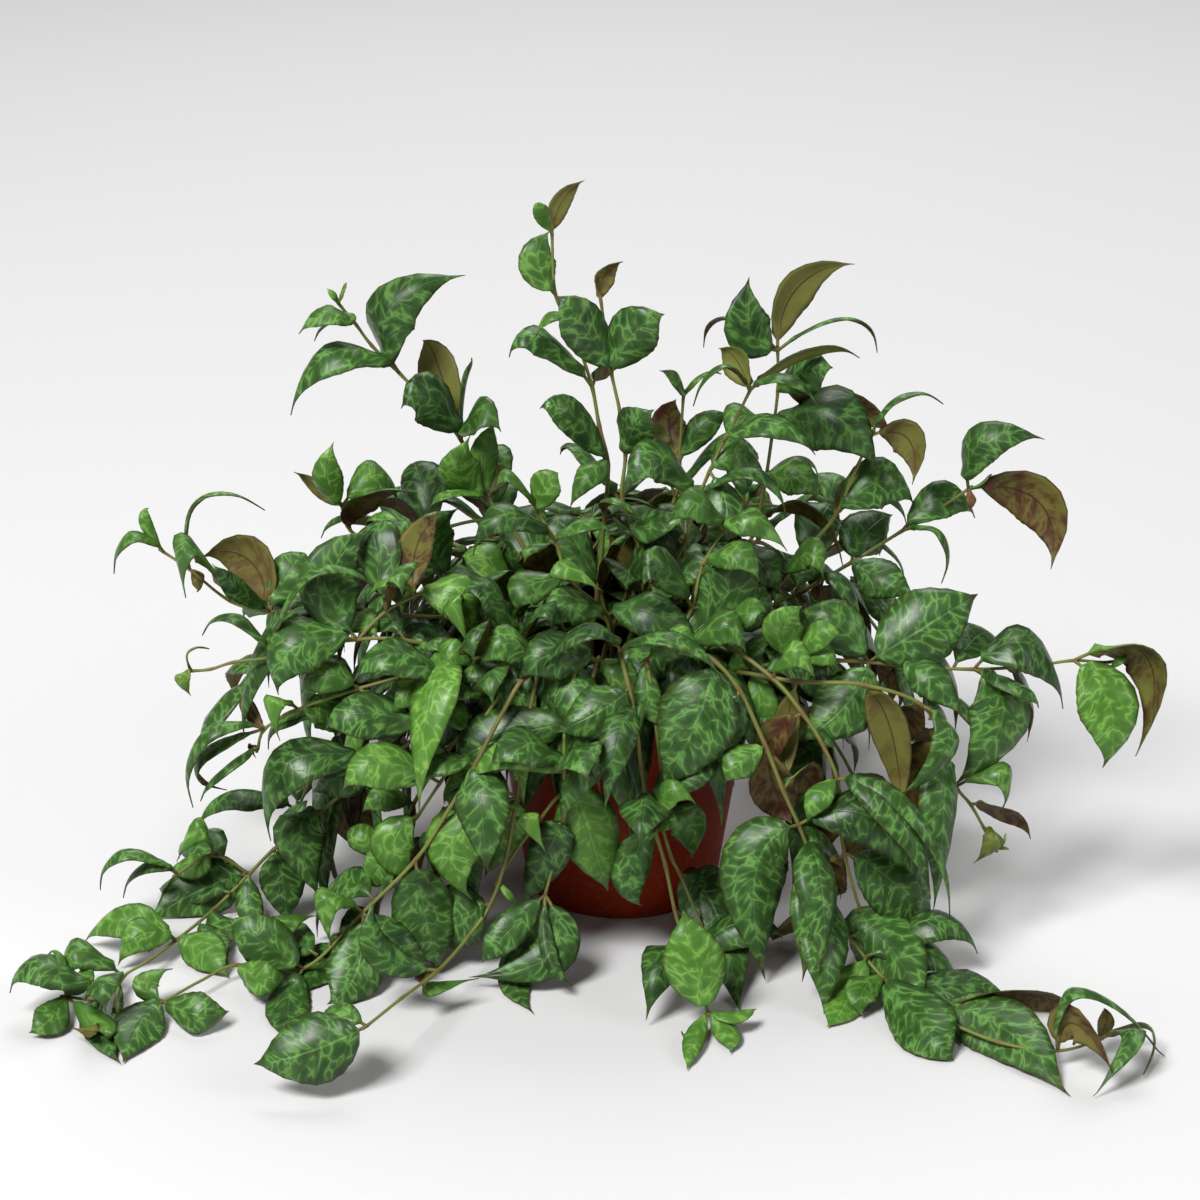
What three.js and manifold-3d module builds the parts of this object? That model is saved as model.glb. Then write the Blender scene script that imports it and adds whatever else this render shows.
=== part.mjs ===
// A potted lipstick plant: a tapered round plastic pot, its soil, and leafy stems that rise, arch over
// the rim and trail along the surface that the pot stands on. Millimetres, +Z up. The origin is the
// middle of the pot's base. +X is right and -Y is the front.

import * as THREE from 'three';
import { mergeVertices } from 'three/addons/utils/BufferGeometryUtils.js';
import Module from 'manifold-3d';

const wasm = await Module();
wasm.setup();

// Pot
const RIM_RADIUS = 76;
const POT_HEIGHT = 128;
const RIM_BAND = 20;
const RIM_STEP = 4;
const WALL = 1.5;
const BASE_RADIUS = 56;
const BASE_THICKNESS = 2.2;
const POT_SIDES = 24;
const DRAIN_HOLES = 6;
const DRAIN_RADIUS = 4;
const DRAIN_CIRCLE = 42;

// Soil
const SOIL_TOP = 116;
const SOIL_CROWN = 3;
const SEAT_GAP = 0.3;
const HOLE_DEPTH = 14;
const HOLE_GAP = 0.5;

// Stems
const STEM_RADIUS = 1.5;
const BRANCH_RADIUS = 1.2;
const STEM_SIDES = 4;
const STEM_STEP = 52;
const COLLAR_HEIGHT = 138;
const STEM_END = 3;

// Leaves
const LEAF_THICKNESS = 1.1;
const PETIOLE_SHARE = 0.11;
const PETIOLE_HALF = 1.1;
const BROAD = 35;
const TINY = 7;
const SHORT = 30;
const BROAD_ROWS = [PETIOLE_SHARE, 0.38, 0.72];
const PLAIN_ROWS = [0.3, 0.67];
const TINY_ROWS = [0.42];
const LEAF_DOME = 0.3;
const LOWEST = 2;
const STEM_REST = 10;
const APPARENT_WIDTH = 0.92;
const LOW_EDGE = 0.3;
const CLEARANCE = 0.35;

// The line of sight in which the routes and leaves below are given: u to the right and v upwards on an
// upright picture of the plant, from the middle of the pot's base, and y its real depth, with +Y away
const SIGHT_DISTANCE = 1800;
const SIGHT_ELEVATION = THREE.MathUtils.degToRad(23);
const AIM = new THREE.Vector3(-13, 0, 176.6);
const MIDDLE_U = -12.57;
const MIDDLE_V = 156.57;

// Each stem has its root in the soil [x, y] and its route [u, v, y]. Each leaf has the number of the route
// point that it grows from, the middle and tip of its midrib on the picture [u, v, u, v], how much
// further away its tip is, its width, and the turn of its upper face away from the viewer, in degrees
const STEMS = [
  { name: 'leafy_stem_tall_middle', root: [-19, -3],
    route: [[-14, 160, 4], [-10, 205, 8], [-8, 234, 8], [-13, 256, 8], [-17, 278, 8], [-24, 300, 8],
      [-29, 314, 8], [-38, 331, 8], [-40, 366, 8]],
    leaves: [[8, -36, 383, -23, 399, 14, 12, 150], [8, -46, 378, -47, 385, -10, 9, 10],
      [7, -48, 350, -40, 368, 10, 25, 10], [6, -39, 321, -51, 308, -14, 12, 60],
      [4, -42, 306, -65, 297, -20, 21, 40], [4, -6, 300, 10, 306, 40, 20, 120],
      [2, -28, 262, -48, 270, -20, 21, 25], [2, -18, 230, -30, 208, -24, 16, 20],
      [1, -6, 215, 13, 203, -30, 10, 80]] },
  { name: 'leafy_stem_tall_middle_right', root: [-10, 10],
    route: [[3, 160, -2], [11, 180, -4], [6, 197, -4], [0, 216, -4], [2, 240, -4], [-1, 263, -4],
      [-6, 286, -4], [-9, 306, -4], [-12, 327, -4]],
    leaves: [[8, -11, 341, 0, 352, 8, 12, 150], [6, 6, 309, 24, 322, -16, 28, 0],
      [6, -22, 313, -39, 330, -12, 26, 10], [4, 6, 254, 17, 265, -30, 24, 10],
      [4, 15, 251, 27, 252, 24, 15, 140], [2, 16, 200, 38, 206, -26, 20, 30]] },
  { name: 'leafy_stem_upper_left', root: [-27, 11],
    route: [[-45, 165, 8], [-66, 203, 12], [-77, 215, 14], [-92, 248, 18], [-110, 268, 20],
      [-127, 286, 20], [-143, 302, 20], [-152, 314, 20], [-162, 326, 18]],
    leaves: [[8, -165, 331, -169, 335, 0, 4, 20], [8, -160, 333, -157, 339, 0, 4, 60],
      [7, -166, 322, -187, 311, -16, 20, 50], [7, -164, 317, -177, 307, 16, 10, 80],
      [5, -133, 322, -89, 343, 8, 31, 15], [5, -163, 299, -194, 263, -18, 27, 45],
      [3, -104, 288, -114, 306, 24, 24, 155], [3, -110, 272, -129, 268, -22, 34, 10],
      [3, -83, 263, -67, 254, -26, 25, 30], [3, -89, 280, -83, 292, 24, 8, 80],
      [2, -92, 229, -85, 248, -18, 24, 10], [2, -79, 236, -73, 256, -6, 16, 10],
      [2, -70, 226, -72, 236, 26, 16, 150], [2, -95, 219, -112, 211, -22, 14, 70]] },
  { name: 'leafy_stem_short_upright', root: [3, 22],
    route: [[14, 152, 12], [35, 165, 16], [35, 188, 16], [34, 215, 16], [33, 236, 16], [35, 272, 14]],
    leaves: [[4, 27, 256, 32, 272, 18, 23, 165], [4, 46, 256, 61, 266, 10, 16, 10],
      [5, 32, 282, 21, 288, -14, 9, 40], [5, 43, 284, 57, 288, 10, 9, 80],
      [2, 20, 200, -2, 206, -20, 20, 30]] },
  { name: 'leafy_stem_upper_right', root: [8, 6],
    route: [[18, 150, -14], [30, 178, -14], [36, 190, -13], [43, 213, -12], [50, 230, -12],
      [58, 247, -12], [66, 262, -11], [73, 276, -10]],
    leaves: [[7, 67, 293, 56, 303, 18, 22, 140], [7, 102, 298, 137, 299, 10, 14, 110],
      [7, 92, 285, 114, 269, -18, 14, 60], [7, 57, 291, 38, 268, -14, 10, 80],
      [5, 82, 258, 113, 240, -22, 19, 40], [3, 15, 238, -7, 218, -22, 25, 15],
      [3, 73, 231, 98, 205, -20, 14, 55], [4, 60, 207, 47, 188, -30, 27, 5],
      [4, 66, 240, 84, 229, 18, 22, 10]] },
  { name: 'leafy_stem_tall_right', root: [18, 19],
    route: [[42, 152, 22], [70, 186, 28], [77, 200, 28], [82, 225, 28], [86, 252, 26], [89, 276, 24],
      [89, 299, 22]],
    leaves: [[6, 72, 312, 71, 342, 6, 29, 5], [6, 99, 334, 133, 349, 18, 22, 150],
      [6, 62, 319, 39, 306, 14, 10, 85], [6, 126, 318, 148, 302, 20, 8, 85],
      [5, 104, 287, 121, 290, -24, 25, 10], [5, 128, 268, 153, 252, 18, 20, 150],
      [4, 120, 262, 152, 228, -24, 42, 10], [4, 68, 262, 58, 244, -20, 20, 15],
      [2, 105, 211, 131, 178, -10, 20, 110], [3, 98, 228, 118, 216, -14, 30, 5],
      [1, 80, 178, 92, 160, -34, 30, 5]] },
  { name: 'leafy_stem_right_arching', root: [27, 8],
    route: [[52, 138, 4], [78, 153, 8], [92, 168, 10], [108, 188, 10], [122, 205, 10], [134, 232, 10],
      [143, 251, 8]],
    leaves: [[6, 164, 249, 169, 222, -12, 23, 150], [6, 158, 273, 185, 272, 8, 11, 80],
      [4, 128, 221, 148, 230, 14, 12, 150], [4, 148, 224, 170, 210, 14, 36, 5],
      [2, 107, 184, 118, 168, -20, 22, 10], [2, 78, 180, 76, 200, -12, 22, 10]] },
  { name: 'leafy_stem_far_right', root: [37, 14],
    route: [[60, 140, 14], [102, 161, 22], [131, 178, 24], [160, 196, 24], [180, 208, 22], [198, 220, 20]],
    leaves: [[5, 206, 247, 243, 252, -6, 24, 20], [5, 238, 214, 251, 174, -20, 31, 150],
      [5, 206, 224, 211, 230, 6, 4, 80], [5, 200, 214, 199, 207, -10, 6, 20],
      [3, 168, 217, 196, 219, -14, 22, 15], [3, 183, 195, 186, 166, -16, 14, 80],
      [2, 147, 170, 168, 158, -28, 24, 10], [2, 140, 196, 158, 206, 34, 30, 5]] },
  { name: 'leafy_stem_level_right', root: [35, -6],
    route: [[50, 128, -45], [74, 119, -60], [98, 122, -65], [123, 122, -64], [141, 121, -63],
      [160, 119, -62], [201, 117, -60], [235, 119, -56], [258, 122, -52], [278, 121, -48],
      [289, 124, -46]],
    leaves: [[10, 284, 122, 278, 115, -4, 5, 20], [8, 301, 124, 299, 66, -16, 30, 125],
      [8, 279, 96, 279, 58, -24, 34, 5], [6, 232, 132, 257, 96, 6, 33, 40],
      [6, 217, 90, 188, 49, -26, 35, 10], [6, 225, 108, 241, 98, -24, 16, 60],
      [5, 176, 112, 197, 89, -22, 21, 10], [4, 128, 97, 102, 73, -26, 44, 5],
      [4, 174, 142, 207, 159, 14, 41, 5], [4, 122, 143, 100, 152, 14, 38, 5],
      [2, 92, 140, 103, 155, -8, 25, 5], [2, 109, 135, 125, 137, -14, 16, 20],
      [2, 111, 127, 121, 117, -16, 13, 20], [1, 69, 112, 68, 127, -10, 9, 10],
      [1, 82, 96, 89, 77, -16, 16, 5]] },
  { name: 'leafy_stem_drooping_right', root: [43, -18],
    route: [[62, 116, -62], [100, 110, -84], [138, 108, -88], [172, 96, -84], [185, 70, -80],
      [191, 50, -78], [199, 40, -76], [207, 26, -76], [213, 15, -76]],
    leaves: [[6, 220, 36, 236, 22, 8, 16, 120], [5, 214, 60, 219, 34, -14, 15, 20],
      [7, 213, 20, 201, 5, -12, 14, 10], [8, 217, 18, 219, 24, 4, 3, 60],
      [8, 217, 15, 222, 14, -2, 3, 60], [3, 186, 74, 157, 41, -24, 16, 20],
      [3, 164, 88, 163, 70, 20, 19, 165], [1, 93, 78, 93, 51, -14, 16, 165],
      [2, 152, 86, 156, 38, 10, 21, 165]] },
  { name: 'leafy_stem_front_right', root: [19, -26],
    route: [[38, 128, -70], [52, 122, -92], [67, 105, -98], [82, 73, -104], [92, 48, -107],
      [101, 28, -108], [112, 0, -110], [123, -26, -112], [150, -60, -130], [178, -80, -165],
      [215, -96, -190], [249, -101, -200], [272, -95, -190]],
    leaves: [[12, 292, -92, 268, -127, -24, 13, 40], [12, 277, -84, 275, -75, 6, 9, 150],
      [11, 262, -66, 315, -104, 10, 12, 70], [12, 302, -88, 299, -117, -6, 8, 100],
      [11, 263, -86, 288, -114, -20, 33, 150], [9, 215, -86, 251, -127, -20, 37, 25],
      [9, 228, -68, 270, -82, 20, 24, 130], [7, 152, -40, 179, -79, -14, 36, 5],
      [8, 170, -84, 193, -107, -26, 37, 5], [8, 138, -66, 138, -82, -24, 20, 10],
      [5, 142, 32, 175, -13, -12, 31, 15], [5, 76, 2, 80, -64, -16, 37, 5],
      [4, 104, 56, 112, 38, 20, 26, 170], [3, 86, 52, 96, 34, 14, 26, 165], [3, 67, 64, 57, 52, -16, 23, 5],
      [1, 42, 88, 18, 47, -26, 43, 5], [2, 60, 84, 52, 60, -8, 24, 5],
      [0, 58, 142, 74, 126, -12, 28, 10]] },
  { name: 'leafy_stem_front_right_thin', root: [29, -29],
    route: [[56, 132, -66], [86, 112, -88], [103, 92, -98], [114, 75, -100], [123, 54, -101],
      [125, 30, -102], [127, 12, -103], [136, -20, -108], [148, -46, -120]],
    leaves: [[4, 156, 36, 176, -14, -16, 23, 30], [4, 112, 44, 105, 28, -16, 15, 20],
      [6, 160, -10, 180, -46, -20, 35, 5], [6, 118, -4, 122, -16, 16, 22, 165],
      [4, 166, 38, 193, -23, -20, 14, 50], [2, 92, 76, 96, 54, 18, 18, 165],
      [1, 98, 126, 112, 110, -12, 24, 10]] },
  { name: 'leafy_stem_front_middle', root: [2, -37],
    route: [[-1, 126, -88], [4, 106, -102], [8, 86, -106], [11, 60, -108], [15, 40, -109],
      [19, 24, -110], [25, 4, -110], [30, -20, -113], [38, -48, -122], [49, -79, -170]],
    leaves: [[9, 42, -50, 36, -19, 18, 33, 5], [9, 65, -80, 76, -75, 4, 11, 60],
      [9, 41, -95, 38, -111, -14, 11, 10], [9, 42, -90, 33, -91, -4, 4, 50],
      [9, 60, -90, 60, -101, -12, 14, 20], [5, 26, 46, 45, 41, -14, 15, 20],
      [5, 15, 24, 10, 21, -12, 12, 10], [5, 27, 30, 33, 24, -10, 9, 20],
      [0, -17, 142, -49, 118, -16, 20, 60], [0, 27, 136, 62, 112, -18, 15, 55],
      [1, -14, 93, -41, 82, -14, 37, 5]] },
  { name: 'leafy_stem_front_middle_right', root: [11, -37],
    route: [[14, 122, -84], [18, 96, -96], [22, 60, -99], [22, 34, -100], [28, 10, -101],
      [33, 0, -102], [46, -30, -108]],
    leaves: [[5, 54, -34, 62, -100, -22, 35, 5], [3, 38, 28, 40, 6, 6, 24, 5],
      [3, 5, 2, 12, -21, -12, 21, 5], [0, 15, 100, 24, 82, -16, 16, 5],
      [0, 32, 134, 46, 118, -10, 26, 10]] },
  { name: 'leafy_stem_front_left', root: [-10, -35],
    route: [[-14, 122, -86], [-22, 88, -100], [-28, 54, -106], [-38, 43, -108], [-47, 31, -108],
      [-60, 14, -108], [-71, -4, -109]],
    leaves: [[2, -60, 71, -91, 52, -16, 21, 30], [2, -19, 22, -9, -19, -14, 34, 5],
      [2, -22, 66, -12, 72, -16, 14, 20], [4, -54, 33, -43, 11, -16, 18, 5],
      [1, -74, 76, -99, 61, -14, 33, 5], [0, -40, 126, -62, 112, -14, 28, 10],
      [0, 4, 120, 20, 106, -14, 26, 10], [6, -64, -12, -60, -16, -4, 5, 30]] },
  { name: 'leafy_stem_front_left_low', root: [-19, -37],
    route: [[-26, 118, -90], [-32, 90, -104], [-33, 60, -112], [-33, 31, -114], [-44, -12, -118]],
    leaves: [[4, -40, -45, -88, -57, -20, 24, 10], [4, -66, -34, -80, -53, -22, 19, 5],
      [4, -61, -62, -50, -87, -44, 19, 5], [4, -41, -46, -28, -61, -30, 9, 10],
      [3, -42, 14, -58, -16, 12, 24, 5]] },
  { name: 'leafy_stem_trailing_front_left', root: [-29, -29],
    route: [[-46, 120, -82], [-54, 86, -98], [-60, 44, -108], [-66, 10, -112], [-75, -17, -116],
      [-88, -36, -130], [-105, -55, -165], [-126, -71, -205], [-146, -87, -240]],
    leaves: [[8, -178, -101, -212, -112, -10, 42, 5], [8, -165, -78, -182, -80, 14, 16, 50],
      [6, -138, -44, -141, -14, 10, 17, 20], [6, -112, -64, -82, -58, 10, 12, 60],
      [4, -98, -26, -123, -40, 16, 36, 5], [2, -96, 18, -87, -18, -20, 33, 5],
      [2, -68, 22, -82, -12, 8, 22, 10], [2, -90, 52, -110, 40, 16, 28, 10],
      [0, -66, 132, -84, 118, -10, 26, 10], [1, -74, 94, -94, 80, -12, 26, 10]] },
  { name: 'leafy_stem_left_young', root: [-35, -19],
    route: [[-62, 112, -84], [-86, 78, -98], [-104, 52, -104], [-116, 34, -106]],
    leaves: [[3, -131, 16, -118, -10, -14, 25, 5], [3, -138, 6, -148, -8, 4, 20, 5],
      [2, -138, 63, -163, 48, -18, 27, 20], [0, -63, 116, -45, 92, -14, 42, 5],
      [1, -110, 86, -128, 72, -10, 26, 10],
      [1, -99, 93, -110, 84, 14, 24, 10]] },
  { name: 'leafy_stem_low_left', root: [-38, -10],
    route: [[-60, 130, -62], [-97, 106, -80], [-111, 84, -88], [-140, 62, -84], [-172, 36, -70],
      [-199, 14, -54], [-213, 0, -50], [-233, -20, -60], [-255, -38, -95], [-271, -50, -120],
      [-285, -59, -140], [-290, -75, -160]],
    leaves: [[10, -312, -44, -322, -68, -8, 21, 35], [10, -298, -80, -285, -107, -20, 23, 10],
      [8, -282, -25, -311, -38, 10, 22, 30], [8, -274, -34, -290, -53, -14, 20, 10],
      [8, -240, -44, -227, -59, -12, 24, 10], [6, -240, -8, -272, -26, 16, 34, 5],
      [6, -213, -18, -206, -37, -16, 15, 5], [5, -194, -5, -192, -29, 4, 27, 5],
      [3, -190, 64, -207, 18, -14, 30, 30], [4, -184, 22, -172, -16, -20, 40, 5],
      [1, -128, 126, -157, 110, -16, 26, 40], [2, -107, 66, -96, 58, -16, 15, 10],
      [2, -148, 92, -173, 84, -6, 27, 20],
      [3, -160, 56, -180, 46, 12, 24, 10], [11, -288, -79, -291, -83, -4, 4, 30]] },
  { name: 'leafy_stem_low_left_tip', from: ['leafy_stem_low_left', 10],
    route: [[-300, -71, -150], [-318, -70, -150]],
    leaves: [[1, -326, -82, -339, -93, -14, 19, 5], [1, -298, -88, -314, -89, -30, 17, 10],
      [1, -308, -60, -303, -50, 14, 11, 20], [1, -320, -48, -329, -44, 20, 6, 60]] },
  { name: 'leafy_stem_low_left_upper', from: ['leafy_stem_low_left', 6],
    route: [[-234, 11, -52], [-254, 0, -60]],
    leaves: [[1, -284, 12, -302, -9, -4, 10, 50], [1, -272, 6, -288, -12, 10, 12, 60],
      [0, -240, 26, -256, 7, -10, 20, 5], [0, -246, 4, -262, 3, 12, 14, 5]] },
  { name: 'leafy_stem_low_left_front', root: [-35, -38],
    route: [[-56, 112, -96], [-84, 62, -112], [-118, 8, -120], [-148, -22, -124], [-182, -54, -130],
      [-220, -52, -118], [-262, -73, -155]],
    leaves: [[6, -276, -86, -283, -107, -20, 27, 5], [6, -243, -80, -222, -80, -8, 25, 5],
      [6, -272, -62, -257, -52, 22, 18, 5], [5, -206, -60, -190, -59, -14, 36, 5],
      [4, -192, -74, -187, -101, -20, 24, 5], [4, -198, -34, -173, -22, 24, 26, 5],
      [3, -168, -14, -168, -42, -16, 29, 5], [3, -152, -56, -166, -76, -28, 32, 10],
      [3, -131, -38, -109, -54, -10, 20, 10], [2, -112, -24, -104, -52, 16, 34, 10],
      [4, -205, -38, -226, -24, 18, 28, 5]] },
  { name: 'leafy_stem_left_middle', root: [-46, -3],
    route: [[-58, 130, -40], [-85, 127, -52], [-127, 134, -60], [-151, 134, -62], [-176, 130, -64],
      [-200, 124, -64], [-222, 121, -62], [-235, 117, -60], [-246, 116, -60]],
    leaves: [[5, -221, 147, -243, 138, 4, 15, 70], [5, -178, 174, -132, 162, 10, 15, 75],
      [3, -187, 130, -200, 101, -18, 34, 10], [3, -168, 164, -143, 194, 4, 33, 10],
      [8, -251, 112, -246, 101, -8, 9, 10], [8, -248, 127, -235, 130, 4, 4, 80],
      [1, -98, 156, -85, 126, -22, 27, 5]] },
  { name: 'leafy_stem_left_short', from: ['leafy_stem_left_middle', 3],
    route: [[-135, 150, -56], [-118, 159, -54]],
    leaves: [[1, -117, 187, -102, 207, 12, 20, 165], [1, -97, 160, -84, 128, -16, 27, 5],
      [1, -133, 168, -147, 158, -6, 9, 60]] },
  { name: 'leafy_stem_left_upper', root: [-45, 10],
    route: [[-60, 142, -18], [-95, 146, -26], [-127, 148, -30], [-165, 149, -34], [-201, 150, -36],
      [-224, 156, -36], [-247, 174, -34], [-262, 184, -34]],
    leaves: [[7, -281, 194, -293, 171, -4, 15, 60], [7, -272, 201, -272, 211, 6, 7, 20],
      [6, -243, 214, -202, 212, 10, 11, 85], [5, -247, 188, -252, 157, -24, 27, 40],
      [4, -213, 180, -241, 183, 14, 34, 160], [4, -221, 164, -232, 178, -18, 12, 20],
      [6, -241, 168, -242, 160, -12, 12, 150], [4, -190, 174, -180, 186, 22, 22, 10],
      [2, -128, 186, -112, 200, 20, 24, 20]] },
  { name: 'leafy_stem_left_back', root: [-38, 22],
    route: [[-62, 150, 16], [-98, 168, 20], [-132, 184, 22], [-155, 196, 22], [-160, 210, 20]],
    leaves: [[4, -168, 226, -163, 246, -8, 17, 5], [4, -172, 220, -187, 232, 10, 10, 150],
      [3, -150, 214, -120, 222, -14, 22, 120], [2, -140, 206, -122, 196, -18, 20, 110],
      [1, -108, 192, -92, 206, -16, 26, 20], [4, -141, 229, -116, 211, 12, 20, 20]] },
  { name: 'leafy_stem_left_hanging', root: [-54, -12],
    route: [[-78, 124, -66], [-112, 116, -74], [-150, 106, -72], [-185, 94, -66], [-204, 83, -62],
      [-208, 72, -60]],
    leaves: [[4, -240, 79, -250, 36, -8, 14, 55], [4, -243, 64, -228, 44, 6, 13, 60],
      [3, -199, 99, -196, 75, -12, 16, 10], [4, -213, 96, -213, 104, 8, 11, 150],
      [5, -212, 73, -209, 66, -4, 10, 160], [5, -226, 61, -244, 43, -14, 10, 60],
      [2, -172, 114, -186, 104, 8, 26, 10], [2, -142, 92, -152, 76, -14, 30, 10],
      [1, -122, 104, -134, 92, -12, 28, 10],
      [1, -98, 124, -84, 112, -8, 22, 10], [3, -168, 92, -160, 78, 14, 26, 10]] },
  { name: 'leafy_stem_left_hanging_back', root: [-56, 4],
    route: [[-90, 122, -40], [-124, 108, -44], [-152, 88, -42], [-173, 62, -34], [-186, 36, -18],
      [-197, 12, 6]],
    leaves: [] },
  { name: 'leafy_stem_left_hanging_low', root: [-46, -26],
    route: [[-74, 98, -80], [-100, 70, -86], [-119, 40, -88], [-131, 8, -88], [-141, -20, -92],
      [-152, -44, -108]],
    leaves: [[3, -150, 22, -157, 26, 14, 16, 10], [5, -170, -52, -178, -70, -16, 26, 10],
      [4, -150, -32, -152, -56, 14, 24, 5], [2, -136, 44, -150, 34, -10, 16, 20]] },
  { name: 'leafy_stem_right_hanging', root: [53, -10],
    route: [[76, 112, -44], [99, 98, -56], [119, 78, -60], [132, 56, -60], [141, 34, -60]],
    leaves: [[4, 136, 20, 138, 2, -10, 26, 165], [2, 106, 88, 98, 66, -14, 22, 165],
      [3, 142, 50, 150, 42, 14, 24, 165]] },
  { name: 'leafy_stem_middle_fill', root: [-6, -21],
    route: [[-8, 148, -46], [-30, 168, -48], [-38, 190, -44], [-48, 206, -40]],
    leaves: [[3, -44, 222, -36, 231, -6, 22, 10], [3, -62, 228, -74, 219, -14, 14, 60],
      [2, -24, 201, -5, 196, -14, 16, 60], [2, -66, 206, -88, 182, -18, 20, 30],
      [1, -36, 178, -9, 162, -20, 24, 45], [1, -56, 164, -62, 148, -16, 24, 20],
      [0, 15, 150, 48, 126, -24, 26, 20], [0, -30, 154, -42, 138, -24, 26, 5]] },
  { name: 'leafy_stem_middle_right_fill', root: [24, -19],
    route: [[30, 132, -54], [40, 152, -52], [46, 176, -46], [58, 196, -40]],
    leaves: [[0, 56, 150, 50, 175, -24, 36, 5], [1, 22, 176, 8, 163, -20, 22, 10],
      [2, 66, 184, 80, 166, -18, 20, 20], [3, 72, 204, 96, 184, -14, 20, 30],
      [3, 44, 212, 24, 200, -12, 22, 20], [1, 76, 152, 90, 138, -16, 26, 10]] },
];

// Stems behind and beside the ones above, which the same rule places all round: the bearing of each,
// how far it reaches, how high it stands before it droops, and the height of its tip
const BACK_STEMS = [
  { name: 'leafy_stem_back_1', root: [38, 26], bearing: 22, reach: 165, rise: 178, end: 70 },
  { name: 'leafy_stem_back_2', root: [27, 32], bearing: 44, reach: 150, rise: 205, end: 165 },
  { name: 'leafy_stem_back_3', root: [27, 43], bearing: 58, reach: 205, rise: 170, end: 22 },
  { name: 'leafy_stem_back_4', root: [13, 35], bearing: 78, reach: 130, rise: 208, end: 172 },
  { name: 'leafy_stem_back_5', root: [5, 45], bearing: 92, reach: 190, rise: 190, end: 60 },
  { name: 'leafy_stem_back_6', root: [-6, 32], bearing: 108, reach: 125, rise: 192, end: 150 },
  { name: 'leafy_stem_back_7', root: [-18, 45], bearing: 124, reach: 210, rise: 172, end: 22 },
  { name: 'leafy_stem_back_8', root: [-21, 30], bearing: 142, reach: 155, rise: 200, end: 150 },
  { name: 'leafy_stem_back_9', root: [-34, 35], bearing: 160, reach: 190, rise: 190, end: 90 },
];
const BACK_POINTS = 6;
const RULE_LENGTH = 66;
const RULE_WIDTH = 28;
const PAIR_SPACING = 54;
const RULE_TOP = 205;

// Ways in which a leaf may be bent from its first place until it is clear of the other stems: turned in
// depth and across, in degrees, and made smaller
const TURNS_IN_DEPTH = [0, -9, 9, -18, 18, -27, 27, -38, 38];
const TURNS_ACROSS = [0, 10, -10, 22, -22];
const SIZES = [1, 0.8, 0.62];

const SIGHT_COS = Math.cos(SIGHT_ELEVATION);
const SIGHT_SIN = Math.sin(SIGHT_ELEVATION);
const TO_VIEWER = new THREE.Vector3(0, -SIGHT_COS, SIGHT_SIN);
const UP = new THREE.Vector3(0, 0, 1);

// The outer radius of the pot's wall at a height
function wallRadius(z) {
  const foot = RIM_RADIUS - RIM_STEP;
  return BASE_RADIUS + (foot - BASE_RADIUS) * Math.min(1, Math.max(0, z) / (POT_HEIGHT - RIM_BAND));
}

// The same draw each time for the same numbers, from 0 to 1
function draw(first, second, third) {
  const mixed = Math.sin(first * 12.9898 + second * 78.233 + third * 37.719) * 43758.5453;
  return mixed - Math.floor(mixed);
}

// Moves a point that is too near the pot outside its wall or above its rim, whichever is nearer
function besidePot(point, space) {
  const radius = Math.hypot(point.x, point.y);
  const limit = point.z > POT_HEIGHT - RIM_BAND - space ? RIM_RADIUS : wallRadius(point.z);
  const outwards = limit + space - radius;
  const upwards = POT_HEIGHT + space - point.z;
  if (outwards <= 0 || upwards <= 0) {
    return point;
  }
  if (upwards < outwards) {
    point.z += upwards;
  } else {
    point.x *= (radius + outwards) / radius;
    point.y *= (radius + outwards) / radius;
  }
  return point;
}

// The real place of a point of the picture at a depth. One that would be under the surface comes
// forward along the line of sight until it lies on it
function spot(u, v, y, lowest) {
  const across = u - MIDDLE_U;
  const up = v - MIDDLE_V;
  const under = SIGHT_DISTANCE * SIGHT_COS + up * SIGHT_SIN;
  const level = up * (SIGHT_DISTANCE + AIM.z * SIGHT_SIN) + SIGHT_DISTANCE * AIM.z * SIGHT_COS;
  const slope = up * SIGHT_COS - SIGHT_DISTANCE * SIGHT_SIN;
  let depth = y;
  let height = (level + slope * depth) / under;
  if (height < lowest) {
    height = lowest;
    depth = (height * under - level) / slope;
  }
  const beyond = depth * SIGHT_COS - (height - AIM.z) * SIGHT_SIN;
  return new THREE.Vector3(AIM.x + across * (1 + beyond / SIGHT_DISTANCE), depth, height);
}

function toManifold(geometry) {
  const bare = geometry.index ? geometry.clone() : geometry;
  bare.deleteAttribute('normal');
  bare.deleteAttribute('uv');
  const merged = mergeVertices(bare, 1e-4);
  const vertProperties = new Float32Array(merged.attributes.position.array);
  const triVerts = new Uint32Array(merged.index.array);
  return new wasm.Manifold(new wasm.Mesh({ numProp: 3, vertProperties, triVerts }));
}

function toGeometry(solid) {
  const mesh = solid.getMesh();
  const geometry = new THREE.BufferGeometry();
  geometry.setAttribute('position', new THREE.Float32BufferAttribute(mesh.vertProperties, 3));
  geometry.setIndex(Array.from(mesh.triVerts));
  return geometry;
}

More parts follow.
